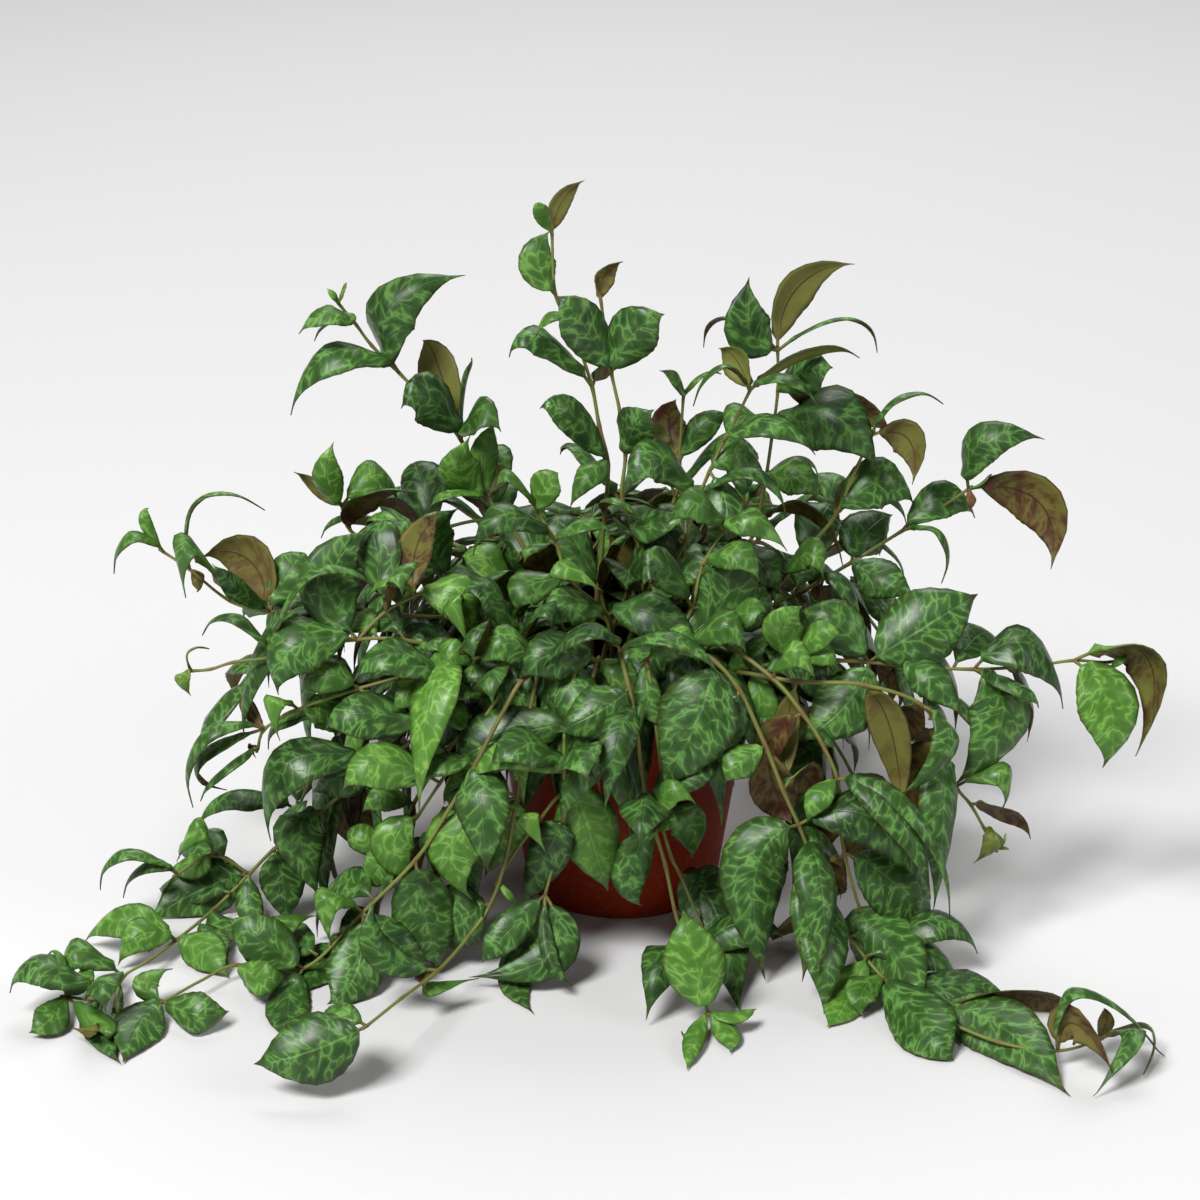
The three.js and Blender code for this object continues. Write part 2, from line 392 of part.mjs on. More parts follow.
// The pot: base, tapered wall, the band round its rim, and holes for water near the edge of the base
function potSolid() {
  const bandFoot = POT_HEIGHT - RIM_BAND;
  const neck = RIM_RADIUS - RIM_STEP;
  const profile = [
    [0, 0], [BASE_RADIUS - 1.5, 0], [BASE_RADIUS, 1.5], [neck, bandFoot - 2], [RIM_RADIUS - 0.8, bandFoot],
    [RIM_RADIUS, POT_HEIGHT - 1], [RIM_RADIUS - 0.5, POT_HEIGHT], [RIM_RADIUS - 1.6, POT_HEIGHT],
    [RIM_RADIUS - 1.9, bandFoot + 3], [neck - WALL, bandFoot - 1],
    [BASE_RADIUS - WALL, BASE_THICKNESS], [0, BASE_THICKNESS],
  ];
  const points = profile.map(([radius, height]) => new THREE.Vector2(radius, height));
  const turned = new THREE.LatheGeometry(points, POT_SIDES).rotateX(Math.PI / 2);
  let pot = toManifold(turned);
  for (let i = 0; i < DRAIN_HOLES; i += 1) {
    const angle = (i + 0.5) / DRAIN_HOLES * 2 * Math.PI;
    const cutter = new THREE.CylinderGeometry(DRAIN_RADIUS, DRAIN_RADIUS, 4 * BASE_THICKNESS, 8);
    cutter.rotateX(Math.PI / 2);
    cutter.translate(DRAIN_CIRCLE * Math.cos(angle), DRAIN_CIRCLE * Math.sin(angle), 0);
    pot = pot.subtract(toManifold(cutter));
  }
  return pot;
}

// The soil fills the pot to just below its rim and has a plain hole for each stem
function soilSolid(roots) {
  const bandFoot = POT_HEIGHT - RIM_BAND;
  const neck = RIM_RADIUS - RIM_STEP - WALL - SEAT_GAP;
  const bottom = BASE_THICKNESS + SEAT_GAP;
  const profile = [
    [0, bottom], [BASE_RADIUS - WALL - SEAT_GAP, bottom], [neck - 0.3, bandFoot - 2], [neck + 1.2, SOIL_TOP],
    [neck * 0.72, SOIL_TOP + SOIL_CROWN * 0.7], [neck * 0.36, SOIL_TOP + SOIL_CROWN],
    [0, SOIL_TOP + SOIL_CROWN],
  ];
  const points = profile.map(([radius, height]) => new THREE.Vector2(radius, height));
  let soil = toManifold(new THREE.LatheGeometry(points, POT_SIDES).rotateX(Math.PI / 2));
  for (const [x, y] of roots) {
    const radius = (STEM_RADIUS + HOLE_GAP) / Math.cos(Math.PI / STEM_SIDES);
    const length = HOLE_DEPTH + 2 * SOIL_CROWN;
    const hole = new THREE.CylinderGeometry(radius, radius, length, STEM_SIDES).rotateX(Math.PI / 2);
    hole.translate(x, y, SOIL_TOP - HOLE_DEPTH + length / 2);
    soil = soil.subtract(toManifold(hole));
  }
  return soil;
}

// Half the width of a leaf at a share of its length: a narrow stalk, then a blade that is broadest
// before its middle and runs out to a drawn point
function halfWidth(share, width) {
  if (share <= PETIOLE_SHARE) {
    return PETIOLE_HALF;
  }
  const along = (share - PETIOLE_SHARE) / (1 - PETIOLE_SHARE);
  const blade = 2.75 * Math.pow(along, 0.58) * Math.pow(1 - along, 0.92) * width / 2;
  return Math.max(blade, PETIOLE_HALF * (1 - along));
}

// A point of a leaf's middle surface, at a share of its length and from -1 to 1 across it
function leafPoint(leaf, share, across) {
  const inverse = 1 - share;
  const point = leaf.base.clone().multiplyScalar(inverse * inverse)
    .addScaledVector(leaf.bow, 2 * share * inverse)
    .addScaledVector(leaf.tip, share * share);
  const along = leaf.bow.clone().sub(leaf.base).multiplyScalar(inverse)
    .addScaledVector(leaf.tip.clone().sub(leaf.bow), share).normalize();
  const side = leaf.side.clone().addScaledVector(along, -leaf.side.dot(along)).normalize();
  const face = side.clone().cross(along);
  const half = halfWidth(share, leaf.width);
  const reach = across * half;
  point.addScaledVector(side, reach);
  point.addScaledVector(face, -LEAF_DOME * Math.abs(across) * Math.abs(reach));
  if (point.z < LOWEST) {
    point.z = LOWEST;
  }
  if (share > PETIOLE_SHARE / 2) {
    besidePot(point, 2);
  }
  return { point, face };
}

// A leaf from the places of its foot, middle and tip, its width and the way its upper face looks
function makeLeaf(base, middle, tip, width, face) {
  const bow = middle.clone().multiplyScalar(2).addScaledVector(base, -0.5).addScaledVector(tip, -0.5);
  const chord = tip.clone().sub(base).normalize();
  const side = chord.clone().cross(face).normalize();
  return { base, bow, tip, width, side };
}

// The leaf turned about its foot and scaled
function bendLeaf(leaf, inDepth, acrossView, size) {
  const chord = leaf.tip.clone().sub(leaf.base).normalize();
  const hinge = chord.clone().cross(TO_VIEWER).normalize();
  const turn = new THREE.Quaternion().setFromAxisAngle(TO_VIEWER, THREE.MathUtils.degToRad(acrossView))
    .multiply(new THREE.Quaternion().setFromAxisAngle(hinge, THREE.MathUtils.degToRad(inDepth)));
  const bend = (point) => point.clone().sub(leaf.base).applyQuaternion(turn).multiplyScalar(size)
    .add(leaf.base);
  const tip = bend(leaf.tip);
  tip.z = Math.max(tip.z, LOWEST);
  return { base: leaf.base, bow: bend(leaf.bow), tip, width: leaf.width * size,
    side: leaf.side.clone().applyQuaternion(turn) };
}

// The shares of its length at which a leaf's solid has corners
function leafRows(leaf) {
  if (leaf.width < TINY || leaf.tip.distanceTo(leaf.base) < SHORT) {
    return TINY_ROWS;
  }
  return leaf.width < BROAD ? PLAIN_ROWS : BROAD_ROWS;
}

// The corners of a leaf's solid: its foot, four across each row, and its tip. The rim of the blade is
// shared by both faces, and both are split into triangles alike
function leafCorners(leaf, spread) {
  const half = LEAF_THICKNESS / 2 + spread;
  const corners = [leaf.base.clone()];
  for (const share of leafRows(leaf)) {
    const middle = leafPoint({ ...leaf, width: leaf.width + 2 * spread }, share, 0);
    const thick = share === PETIOLE_SHARE ? PETIOLE_HALF : half;
    corners.push(leafPoint(leaf, share, -1).point);
    corners.push(middle.point.clone().addScaledVector(middle.face, thick));
    corners.push(leafPoint(leaf, share, 1).point);
    corners.push(middle.point.clone().addScaledVector(middle.face, -thick));
  }
  corners.push(leaf.tip.clone());
  return corners;
}

function leafTriangles(rows) {
  const triangles = [];
  const last = 1 + 4 * rows;
  const foot = last - 4;
  triangles.push([0, 2, 1], [0, 3, 2], [0, 4, 3], [0, 1, 4]);
  for (let row = 1; row < foot; row += 4) {
    const next = row + 4;
    triangles.push([row, row + 1, next + 1], [row, next + 1, next]);
    triangles.push([row + 2, next + 1, row + 1], [row + 2, next + 2, next + 1]);
    triangles.push([row, next + 3, row + 3], [row, next, next + 3]);
    triangles.push([row + 2, row + 3, next + 3], [row + 2, next + 3, next + 2]);
  }
  triangles.push([last, foot, foot + 1], [last, foot + 1, foot + 2]);
  triangles.push([last, foot + 2, foot + 3], [last, foot + 3, foot]);
  return triangles;
}

function leafSolid(leaf) {
  const geometry = new THREE.BufferGeometry();
  const corners = leafCorners(leaf, 0);
  const triangles = leafTriangles(leafRows(leaf).length);
  geometry.setAttribute('position', new THREE.Float32BufferAttribute(corners.flatMap((c) => c.toArray()), 3));
  geometry.setIndex(triangles.flat());
  const solid = toManifold(geometry);
  if (solid.volume() > 0) {
    return solid;
  }
  geometry.setIndex(triangles.flatMap(([a, b, c]) => [a, c, b]));
  return toManifold(geometry);
}

// Triangles with their boxes, for telling whether two thin shapes cross
function shell(corners, triangles) {
  const faces = triangles.map((corner) => {
    const [a, b, c] = corner.map((index) => corners[index]);
    return { a, b, c, box: new THREE.Box3().setFromPoints([a, b, c]) };
  });
  const box = new THREE.Box3();
  for (const face of faces) {
    box.union(face.box);
  }
  return { faces, box };
}

function shellOfSolid(solid) {
  const mesh = solid.getMesh();
  const corners = [];
  for (let i = 0; i < mesh.vertProperties.length; i += 3) {
    corners.push(new THREE.Vector3().fromArray(mesh.vertProperties, i));
  }
  const triangles = [];
  for (let i = 0; i < mesh.triVerts.length; i += 3) {
    triangles.push([mesh.triVerts[i], mesh.triVerts[i + 1], mesh.triVerts[i + 2]]);
  }
  return shell(corners, triangles);
}

const ray = new THREE.Ray();
const hit = new THREE.Vector3();

function edgeCrosses(from, to, face) {
  ray.origin.copy(from);
  ray.direction.copy(to).sub(from);
  const length = ray.direction.length();
  ray.direction.divideScalar(length || 1);
  const met = ray.intersectTriangle(face.a, face.b, face.c, false, hit);
  return met !== null && met.distanceTo(from) <= length;
}

function facesCross(one, two) {
  if (!one.box.intersectsBox(two.box)) {
    return false;
  }
  return edgeCrosses(one.a, one.b, two) || edgeCrosses(one.b, one.c, two) || edgeCrosses(one.c, one.a, two)
    || edgeCrosses(two.a, two.b, one) || edgeCrosses(two.b, two.c, one) || edgeCrosses(two.c, two.a, one);
}

function shellsCross(one, two) {
  if (!one.box.intersectsBox(two.box)) {
    return false;
  }
  const near = two.faces.filter((face) => face.box.intersectsBox(one.box));
  return one.faces.some((face) => near.some((other) => facesCross(face, other)));
}

// A stem: a straight stretch in the soil, or the node that a branch grows from, then its route
function stemPoints(stem, starts) {
  const route = stem.route.map(([u, v, y]) => besidePot(spot(u, v, y, STEM_REST), 3));
  if (stem.root) {
    return { nodes: route, line: [...rootPoints(stem.root), ...route] };
  }
  const [parent, node] = stem.from;
  const foot = starts.find((start) => start.name === parent).nodes[node];
  return { nodes: route, line: [foot.clone(), ...route] };
}

function rootPoints([x, y]) {
  return [
    new THREE.Vector3(x, y, SOIL_TOP - HOLE_DEPTH + SEAT_GAP + 0.5),
    new THREE.Vector3(x, y, SOIL_TOP + SOIL_CROWN),
    new THREE.Vector3(x * 1.08, y * 1.08, COLLAR_HEIGHT),
  ];
}

// A stem that rises from its root, arches outwards on its bearing and droops to its end
function backStemPoints(stem) {
  const angle = THREE.MathUtils.degToRad(stem.bearing);
  const [x, y] = stem.root;
  const nodes = [];
  for (let i = 1; i <= BACK_POINTS; i += 1) {
    const share = i / BACK_POINTS;
    const reach = stem.reach * Math.pow(share, 1.15);
    const wander = angle + 0.12 * Math.sin(share * 5 + stem.bearing);
    const climb = Math.sin(Math.min(1, share * 1.6) * Math.PI / 2);
    const rise = COLLAR_HEIGHT + (stem.rise - COLLAR_HEIGHT) * climb;
    const fall = Math.max(0, share - 0.45) / 0.55;
    const height = rise + (stem.end - stem.rise) * Math.pow(fall, 1.6);
    const point = new THREE.Vector3(x + reach * Math.cos(wander), y + reach * Math.sin(wander),
      Math.max(height, LOWEST + 2));
    nodes.push(besidePot(point, 4));
  }
  return { nodes, line: [...rootPoints(stem.root), ...nodes] };
}

// The line through the points of a stem, with one more point on each long stretch so that it bends smoothly
function smoothLine(line) {
  const points = [];
  for (let i = 0; i + 1 < line.length; i += 1) {
    const [from, to] = [line[i], line[i + 1]];
    points.push(from);
    if (i > 1 && from.distanceTo(to) > STEM_STEP) {
      const after = line[i + 2] ?? to.clone().multiplyScalar(2).sub(from);
      const middle = from.clone().add(to).multiplyScalar(9 / 16);
      points.push(middle.addScaledVector(line[i - 1], -1 / 16).addScaledVector(after, -1 / 16));
    }
  }
  points.push(line[line.length - 1]);
  return points;
}

// A path whose steps fall on its own points
class StemPath extends THREE.Curve {
  constructor(points) {
    super();
    this.points = points;
  }

  getPointAt(share) {
    const last = this.points.length - 1;
    const place = Math.min(last - 1, Math.floor(share * last + 1e-9));
    return this.points[place].clone().lerp(this.points[place + 1], share * last - place);
  }

  getTangentAt(share) {
    const last = this.points.length - 1;
    const place = Math.round(share * last);
    const before = this.points[Math.max(0, place - 1)];
    return this.points[Math.min(last, place + 1)].clone().sub(before).normalize();
  }
}

function stemSolid(line, radius) {
  const section = new THREE.Shape();
  for (let i = 0; i < STEM_SIDES; i += 1) {
    const angle = i / STEM_SIDES * 2 * Math.PI;
    section[i ? 'lineTo' : 'moveTo'](radius * Math.cos(angle), radius * Math.sin(angle));
  }
  const points = smoothLine(line);
  const [before, last] = points.slice(-2);
  points.push(last.clone().addScaledVector(last.clone().sub(before).normalize(), STEM_END));
  const options = { steps: points.length - 1, extrudePath: new StemPath(points), bevelEnabled: false };
  return toManifold(new THREE.ExtrudeGeometry(section, options));
}

// The first place of a leaf that is given on the picture
function pictureLeaf(nodes, [node, midU, midV, tipU, tipV, further, width, turn]) {
  const base = nodes[node];
  const depth = base.y;
  const bulge = turn < 90 ? -6 : 6;
  const level = Math.abs(tipU - midU) / Math.hypot(tipU - midU, tipV - midV);
  const middle = spot(midU, midV, depth + further / 2 + bulge, LOWEST + 4 + LOW_EDGE * width * level);
  const tip = spot(tipU, tipV, depth + further, LOWEST + 1);
  const chord = tip.clone().sub(base).normalize();
  const towards = TO_VIEWER.clone().addScaledVector(chord, -TO_VIEWER.dot(chord)).normalize();
  const aside = chord.clone().cross(towards).normalize();
  if (aside.z + 0.35 * aside.x < 0) {
    aside.negate();
  }
  const angle = THREE.MathUtils.degToRad(turn);
  const face = towards.multiplyScalar(Math.cos(angle)).addScaledVector(aside, Math.sin(angle));
  return makeLeaf(base, middle, tip, width / APPARENT_WIDTH, face);
}

// The first place of a leaf that the rule gives: pairs that stand crosswise to the pair below
function ruleLeaf(line, nodes, index, hand, number) {
  const base = nodes[index];
  const before = index ? nodes[index - 1] : line[line.length - nodes.length - 1];
  const along = base.clone().sub(before).normalize();
  const level = along.clone().cross(UP).normalize();
  const across = index % 2 ? level : level.clone().multiplyScalar(0.75).addScaledVector(UP, 0.65 * hand);
  const outwards = new THREE.Vector3(base.x, base.y, 0).normalize();
  const direction = across.clone().multiplyScalar(hand).addScaledVector(along, 0.45)
    .addScaledVector(outwards, 0.3).addScaledVector(UP, 0.15).normalize();
  const length = RULE_LENGTH * (0.82 + 0.32 * draw(number, index, hand));
  const droop = 0.2 + 0.25 * draw(number, index, hand + 3);
  const middle = base.clone().addScaledVector(direction, 0.5 * length).addScaledVector(UP, 0.1 * length);
  const tip = base.clone().addScaledVector(direction, 0.94 * length).addScaledVector(UP, -droop * length);
  middle.z = Math.max(middle.z, LOWEST + 1);
  tip.z = Math.max(tip.z, LOWEST);
  const face = UP.clone().addScaledVector(outwards, 0.5).normalize();
  const width = RULE_WIDTH * (0.9 + 0.3 * draw(number, index, hand + 6));
  return makeLeaf(base, middle, tip, width, face);
}

const roots = [...STEMS, ...BACK_STEMS].filter((stem) => stem.root).map((stem) => stem.root);
const pot = potSolid();
const soil = soilSolid(roots);
const fixed = [shellOfSolid(pot), shellOfSolid(soil)];

const stems = [];
for (const stem of STEMS) {
  const points = stemPoints(stem, stems);
  const solid = stemSolid(points.line, stem.root ? STEM_RADIUS : BRANCH_RADIUS);
  stems.push({ ...points, name: stem.name, stem, solid, owner: stem.root ? stem.name : stem.from[0] });
}
for (const stem of BACK_STEMS) {
  const points = backStemPoints(stem);
  const solid = stemSolid(points.line, STEM_RADIUS);
  stems.push({ ...points, name: stem.name, stem, solid, owner: stem.name });
}
for (const entry of stems) {
  entry.shell = shellOfSolid(entry.solid);
  entry.leaves = [];
}

function isClear(index, whole, blade) {
  if (fixed.some((other) => shellsCross(whole, other))) {
    return false;
  }
  for (let other = 0; other < stems.length; other += 1) {
    if (stems[other].owner === stems[index].owner) {
      if (stems[other].leaves.some((placed) => shellsCross(blade, placed.blade))) {
        return false;
      }
    } else if (shellsCross(whole, stems[other].shell)
      || stems[other].leaves.some((placed) => shellsCross(whole, placed.whole))) {
      return false;
    }
  }
  return true;
}

// Tries the bends in turn, and keeps the first leaf that is clear of everything but its own stem
function placeLeaf(index, first) {
  for (const size of SIZES) {
    for (const acrossView of TURNS_ACROSS) {
      for (const inDepth of TURNS_IN_DEPTH) {
        const leaf = bendLeaf(first, inDepth, acrossView, size);
        const corners = leafCorners(leaf, CLEARANCE);
        const triangles = leafTriangles(leafRows(leaf).length);
        const whole = shell(corners, triangles);
        const blade = shell(corners, triangles.slice(4));
        if (isClear(index, whole, blade)) {
          stems[index].leaves.push({ leaf, whole, blade });
          return;
        }
      }
    }
  }
}

stems.forEach((entry, index) => {
  for (const row of entry.stem.leaves ?? []) {
    placeLeaf(index, pictureLeaf(entry.nodes, row));
  }
});

stems.forEach((entry, index) => {
  const given = (entry.stem.leaves ?? []).map((row) => row[0]);
  let last = entry.nodes[0];
  entry.nodes.forEach((node, place) => {
    if (given.includes(place)) {
      last = node;
      return;
    }
    if (place > 0 && node.distanceTo(last) < PAIR_SPACING) {
      return;
    }
    if (entry.stem.leaves && node.z > RULE_TOP) {
      return;
    }
    last = node;
    for (const hand of [-1, 1]) {
      placeLeaf(index, ruleLeaf(entry.line, entry.nodes, place, hand, index));
    }
  });
});

const COLOURS = {
  pot: { color: 0x6b2318, roughness: 0.62, metalness: 0 },
  soil: { color: 0x2c2019, roughness: 0.97, metalness: 0 },
  stem: { color: 0x3f6b2a, roughness: 0.42, metalness: 0 },
};

function named(name, solid, look) {
  const mesh = new THREE.Mesh(toGeometry(solid), new THREE.MeshStandardMaterial({ ...look }));
  mesh.name = name;
  return mesh;
}

const plant = new THREE.Group();
plant.add(named('pot', pot, COLOURS.pot));
plant.add(named('soil', soil, COLOURS.soil));
for (const entry of stems.filter((one) => one.owner === one.name)) {
  let solid = entry.solid;
  for (const other of stems.filter((one) => one.owner === entry.name)) {
    if (other !== entry) {
      solid = solid.add(other.solid);
    }
    for (const placed of other.leaves) {
      solid = solid.add(leafSolid(placed.leaf));
    }
  }
  plant.add(named(entry.name, solid, COLOURS.stem));
}

export default plant;
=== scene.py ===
# A potted lipstick plant: a round tapered plastic pot with its soil, and leafy stems with mottled leaves
# that rise, arch over the rim and trail along the surface around the pot. Shapes are worked out in
# millimetres, as in the frame's own source, and turned to metres where a mesh is made

import math
import random

import bmesh
import bpy
import numpy as np
from bpy.props import (FloatProperty, FloatVectorProperty, IntProperty, PointerProperty)
from mathutils import Matrix, Quaternion, Vector, noise
from mathutils.kdtree import KDTree


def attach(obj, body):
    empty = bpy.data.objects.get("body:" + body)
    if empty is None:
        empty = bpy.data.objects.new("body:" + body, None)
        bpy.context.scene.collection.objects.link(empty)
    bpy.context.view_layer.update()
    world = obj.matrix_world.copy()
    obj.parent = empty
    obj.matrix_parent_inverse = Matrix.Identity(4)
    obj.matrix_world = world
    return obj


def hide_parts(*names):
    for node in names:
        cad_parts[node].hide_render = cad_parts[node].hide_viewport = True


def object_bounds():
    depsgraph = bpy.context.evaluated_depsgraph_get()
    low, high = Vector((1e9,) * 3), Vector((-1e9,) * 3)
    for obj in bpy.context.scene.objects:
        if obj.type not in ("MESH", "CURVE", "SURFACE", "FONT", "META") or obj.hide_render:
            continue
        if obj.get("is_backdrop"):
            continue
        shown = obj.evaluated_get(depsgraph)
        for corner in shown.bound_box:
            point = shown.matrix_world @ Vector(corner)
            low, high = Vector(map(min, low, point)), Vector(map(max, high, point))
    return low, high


bl_info = {
    "name": "Potted Lipstick Plant",
    "version": (1, 0, 0),
    "blender": (4, 5, 0),
    "location": "View3D > Sidebar > Plant",
    "description": "Builds a potted trailing plant with mottled leaves on its packed frame",
    "category": "Object",
}

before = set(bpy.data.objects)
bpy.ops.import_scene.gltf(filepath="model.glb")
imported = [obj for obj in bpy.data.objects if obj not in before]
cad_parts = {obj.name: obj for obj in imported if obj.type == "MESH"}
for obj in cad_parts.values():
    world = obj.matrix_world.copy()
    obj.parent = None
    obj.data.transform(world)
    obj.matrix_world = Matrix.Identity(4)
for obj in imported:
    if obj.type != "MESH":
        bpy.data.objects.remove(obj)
CAD_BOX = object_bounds()
MM = 0.001

# The pot and the soil, in millimetres, with the faces round each of them, the angle up to which the pot is
# shaded smooth, and the soil's rings and the scale of its lumps
RIM_RADIUS = 76
POT_HEIGHT = 128
RIM_BAND = 20
RIM_STEP = 4
WALL = 1.5
BASE_RADIUS = 56
BASE_THICKNESS = 2.2
DRAIN_HOLES = 6
DRAIN_RADIUS = 4
DRAIN_CIRCLE = 42
SOIL_TOP = 116
SOIL_CROWN = 3
SEAT_GAP = 0.3
HOLE_DEPTH = 14
BAND_BOTTOM = POT_HEIGHT - RIM_BAND
NECK_RADIUS = RIM_RADIUS - RIM_STEP
POT_SIDES = 112
DRAIN_SIDES = 24
SMOOTH_ANGLE = math.radians(35)
SOIL_SIDES = 96
SOIL_RINGS = 20
LUMP_SCALE = 90

# The loose crumbs on the soil, in millimetres: how far they rise out of it and their sizes
CRUMB_SEED = 7
CRUMB_RISES = (-0.4, 0.7)
CRUMB_SIZES = (0.7, 2.3)

# The lines of the stems, in millimetres: where they leave the soil, how low they come, their space to the
# pot, how far the back ones wander from their bearing, in radians, and the share of their length where they
# begin to fall, the longest stretch without a point between, the tube's steps and swollen nodes, how far
# the colour of a node reaches, and how tan a stem is at its foot and how fast that fades along it
COLLAR_HEIGHT = 138
COLLAR_SPREAD = 1.08
ROOT_CLEAR = 0.5
STEM_REST = 10
ROUTE_SPACE = 3
BACK_SPACE = 4
BACK_LOWEST = 4
BACK_POINTS = 6
BACK_WANDER = 0.12
BACK_TOP = 0.45
LONGEST_STRETCH = 52
STEM_END = 3
TUBE_STEP = 3.5
NODE_REACH = 3.2
NODE_SWELLING = 0.28
KNOT_REACH = 3.5
STEM_TONES = (0.25, 0.75)
TAN_FADE = 1.4
BRANCH_SIZE = 0.7
SEAM = 0.01

# The leaves that the frame has, in millimetres: how near they come to the surface, how much narrower they
# look than they are, how far their middles bulge, and the sizes and heights of those set by rule. Here and
# below a pair is the least of what is drawn, as a share, and how much more it may be, and a heading is how
# much a leaf points along its stem, outwards and up. In the frame, a leaf that would meet another stem is
# turned, in degrees, or made smaller, in the order of the rows
LOWEST = 2
APPARENT_WIDTH = 0.92
LOW_EDGE = 0.3
BULGE = 6
RULE_LENGTH = 66
RULE_WIDTH = 28
RULE_LENGTHS = (0.82, 0.32)
RULE_WIDTHS = (0.9, 0.3)
RULE_DROOPS = (0.2, 0.25)
RULE_HEADING = (0.45, 0.3, 0.15)
RULE_TOP = 205
PAIR_SPACING = 54
TURNS_IN_DEPTH = (0, -9, 9, -18, 18, -27, 27, -38, 38)
TURNS_ACROSS = (0, 10, -10, 22, -22)
SIZES = (1, 0.8, 0.62)
SAME_PLACE = 0.05

# The filling leaves, in millimetres and shares of the stem: between which heights and how often they
# stand, how long they are, how they are turned round their stem, in degrees, their space to the pot and to
# the leaves that the picture shows, where on a leaf that is tested, and the place in front of the pot that
# stays open
FILL_STEP = 15
FILL_SHARE = 0.8
FILL_TOP = 195
FILL_LOW = 9
FILL_THIN = 130
FILL_SKIPPED = 0.4
FILL_INNER = 38
FILL_CLEAR = 9
FILL_TRIES = 8
FILL_LENGTH = 68
FILL_LENGTHS = (0.65, 0.6)
FILL_WIDTHS = (0.38, 0.1)
FILL_DROOPS = (0.2, 0.5)
FILL_ROLLS = (-20, 80)
FILL_HEADING = (0.35, 0.3, -0.1)
FILL_SPACE_MIDDLE = 9
FILL_SPACE_TIP = 7
POT_CLEAR = 6
BEHIND = 4
HIDING_SHARES = (0.3, 0.6, 0.95)
CUTTING_SHARES = (0.15, 0.3, 0.45, 0.6, 0.8, 1)
SHOWN_SHARES = (0.3, 0.6, 0.9)
SHOWN_REACH = 0.4
FRONT_DEPTH = 50
FRONT_HALF = 75
FRONT_TOP = 150

# The shape of a leaf: the shares of its length where its stalk's material and form end, how much slimmer it
# is than in the frame, and how many times its width it is long at least. The dome, fold and ripple are
# shares of its half width, the hook and sway of its length, the teeth of its width, where it is wide enough
# for them. The stalk and the channel along the midrib are in millimetres, the channel's width a share of the
# half width. A filling leaf has fewer faces, and each leaf comes to rest softly above the surface
STALK_MATERIAL_SHARE = 0.11
STALK_SHARE = 0.08
SLIMMER = 0.92
LEAST_SLENDER = 1.75
LEAF_DOME = 0.3
LEAF_FOLD = 0.34
RIPPLE = 0.06
HOOK = 0.1
SWAY = 0.1
TEETH = 0.014
TEETH_HALF = 1.5
WAVES = (1.2, 1.6)
DOMES = (0.45, 0.8)
STALK_HALF = 0.85
STALK_END = 0.1
CHANNEL_DEPTH = 0.4
CHANNEL_WIDTH = 0.14
SMALL_BLADE = 0.65
REST_HEIGHT = 0.75 * LOWEST
SOFT_REST = 0.8

# How a leaf's colour follows from its size and place: the lengths under which it is young or bronze, over
# how much less it becomes so fully, and the reach at which it is outermost, in millimetres. The tone is
# part drawn and part from the reach. YOUTH is that of the leaves named below, and of those set by rule or
# filling, all but a share of NOT_BY_CHANCE are up to YOUNG_BY_CHANCE young
YOUNG_LENGTH = 44
YOUNG_SPAN = 26
BRONZE_LENGTH = 27
BRONZE_SPAN = 8
OUTER_REACH = 230
TONE_DRAWN = 0.68
TONE_OUTER = 0.32
YOUTH = 0.5
YOUTHS = (0.5, 0.5)
YOUNG_BY_CHANCE = 0.75
NOT_BY_CHANCE = 0.86

# The pattern on the leaves: how many layers of it the leaves differ by, how far its veins slant forwards,
# and the scale of the fine grain
LAYERS = 37.0
VEIN_SLANT = 0.55
LEAF_GRAIN = 900.0

# The nodes whose leaves are young and bright
YOUNG_NODES = {
    "left_young": (2, 3), "trailing_front_left": (2,), "front_left": (2, 6),
    "front_middle": (5, 9), "level_right": (1, 2, 8), "low_left": (8,),
    "low_left_front": (5,), "left_middle": (1,), "left_short": (1,),
    "left_back": (4,), "upper_left": (2,)}

# The line of sight in which the routes and leaves are given: u to the right and v upwards on an upright
# picture of the plant, from the middle of the pot's base, and y its real depth, with +Y away
SIGHT_DISTANCE = 1800
SIGHT_ELEVATION = math.radians(23)
AIM = Vector((-13, 0, 176.6))
MIDDLE_U = -12.57
MIDDLE_V = 156.57
VIEW_WIDTH = 685.7

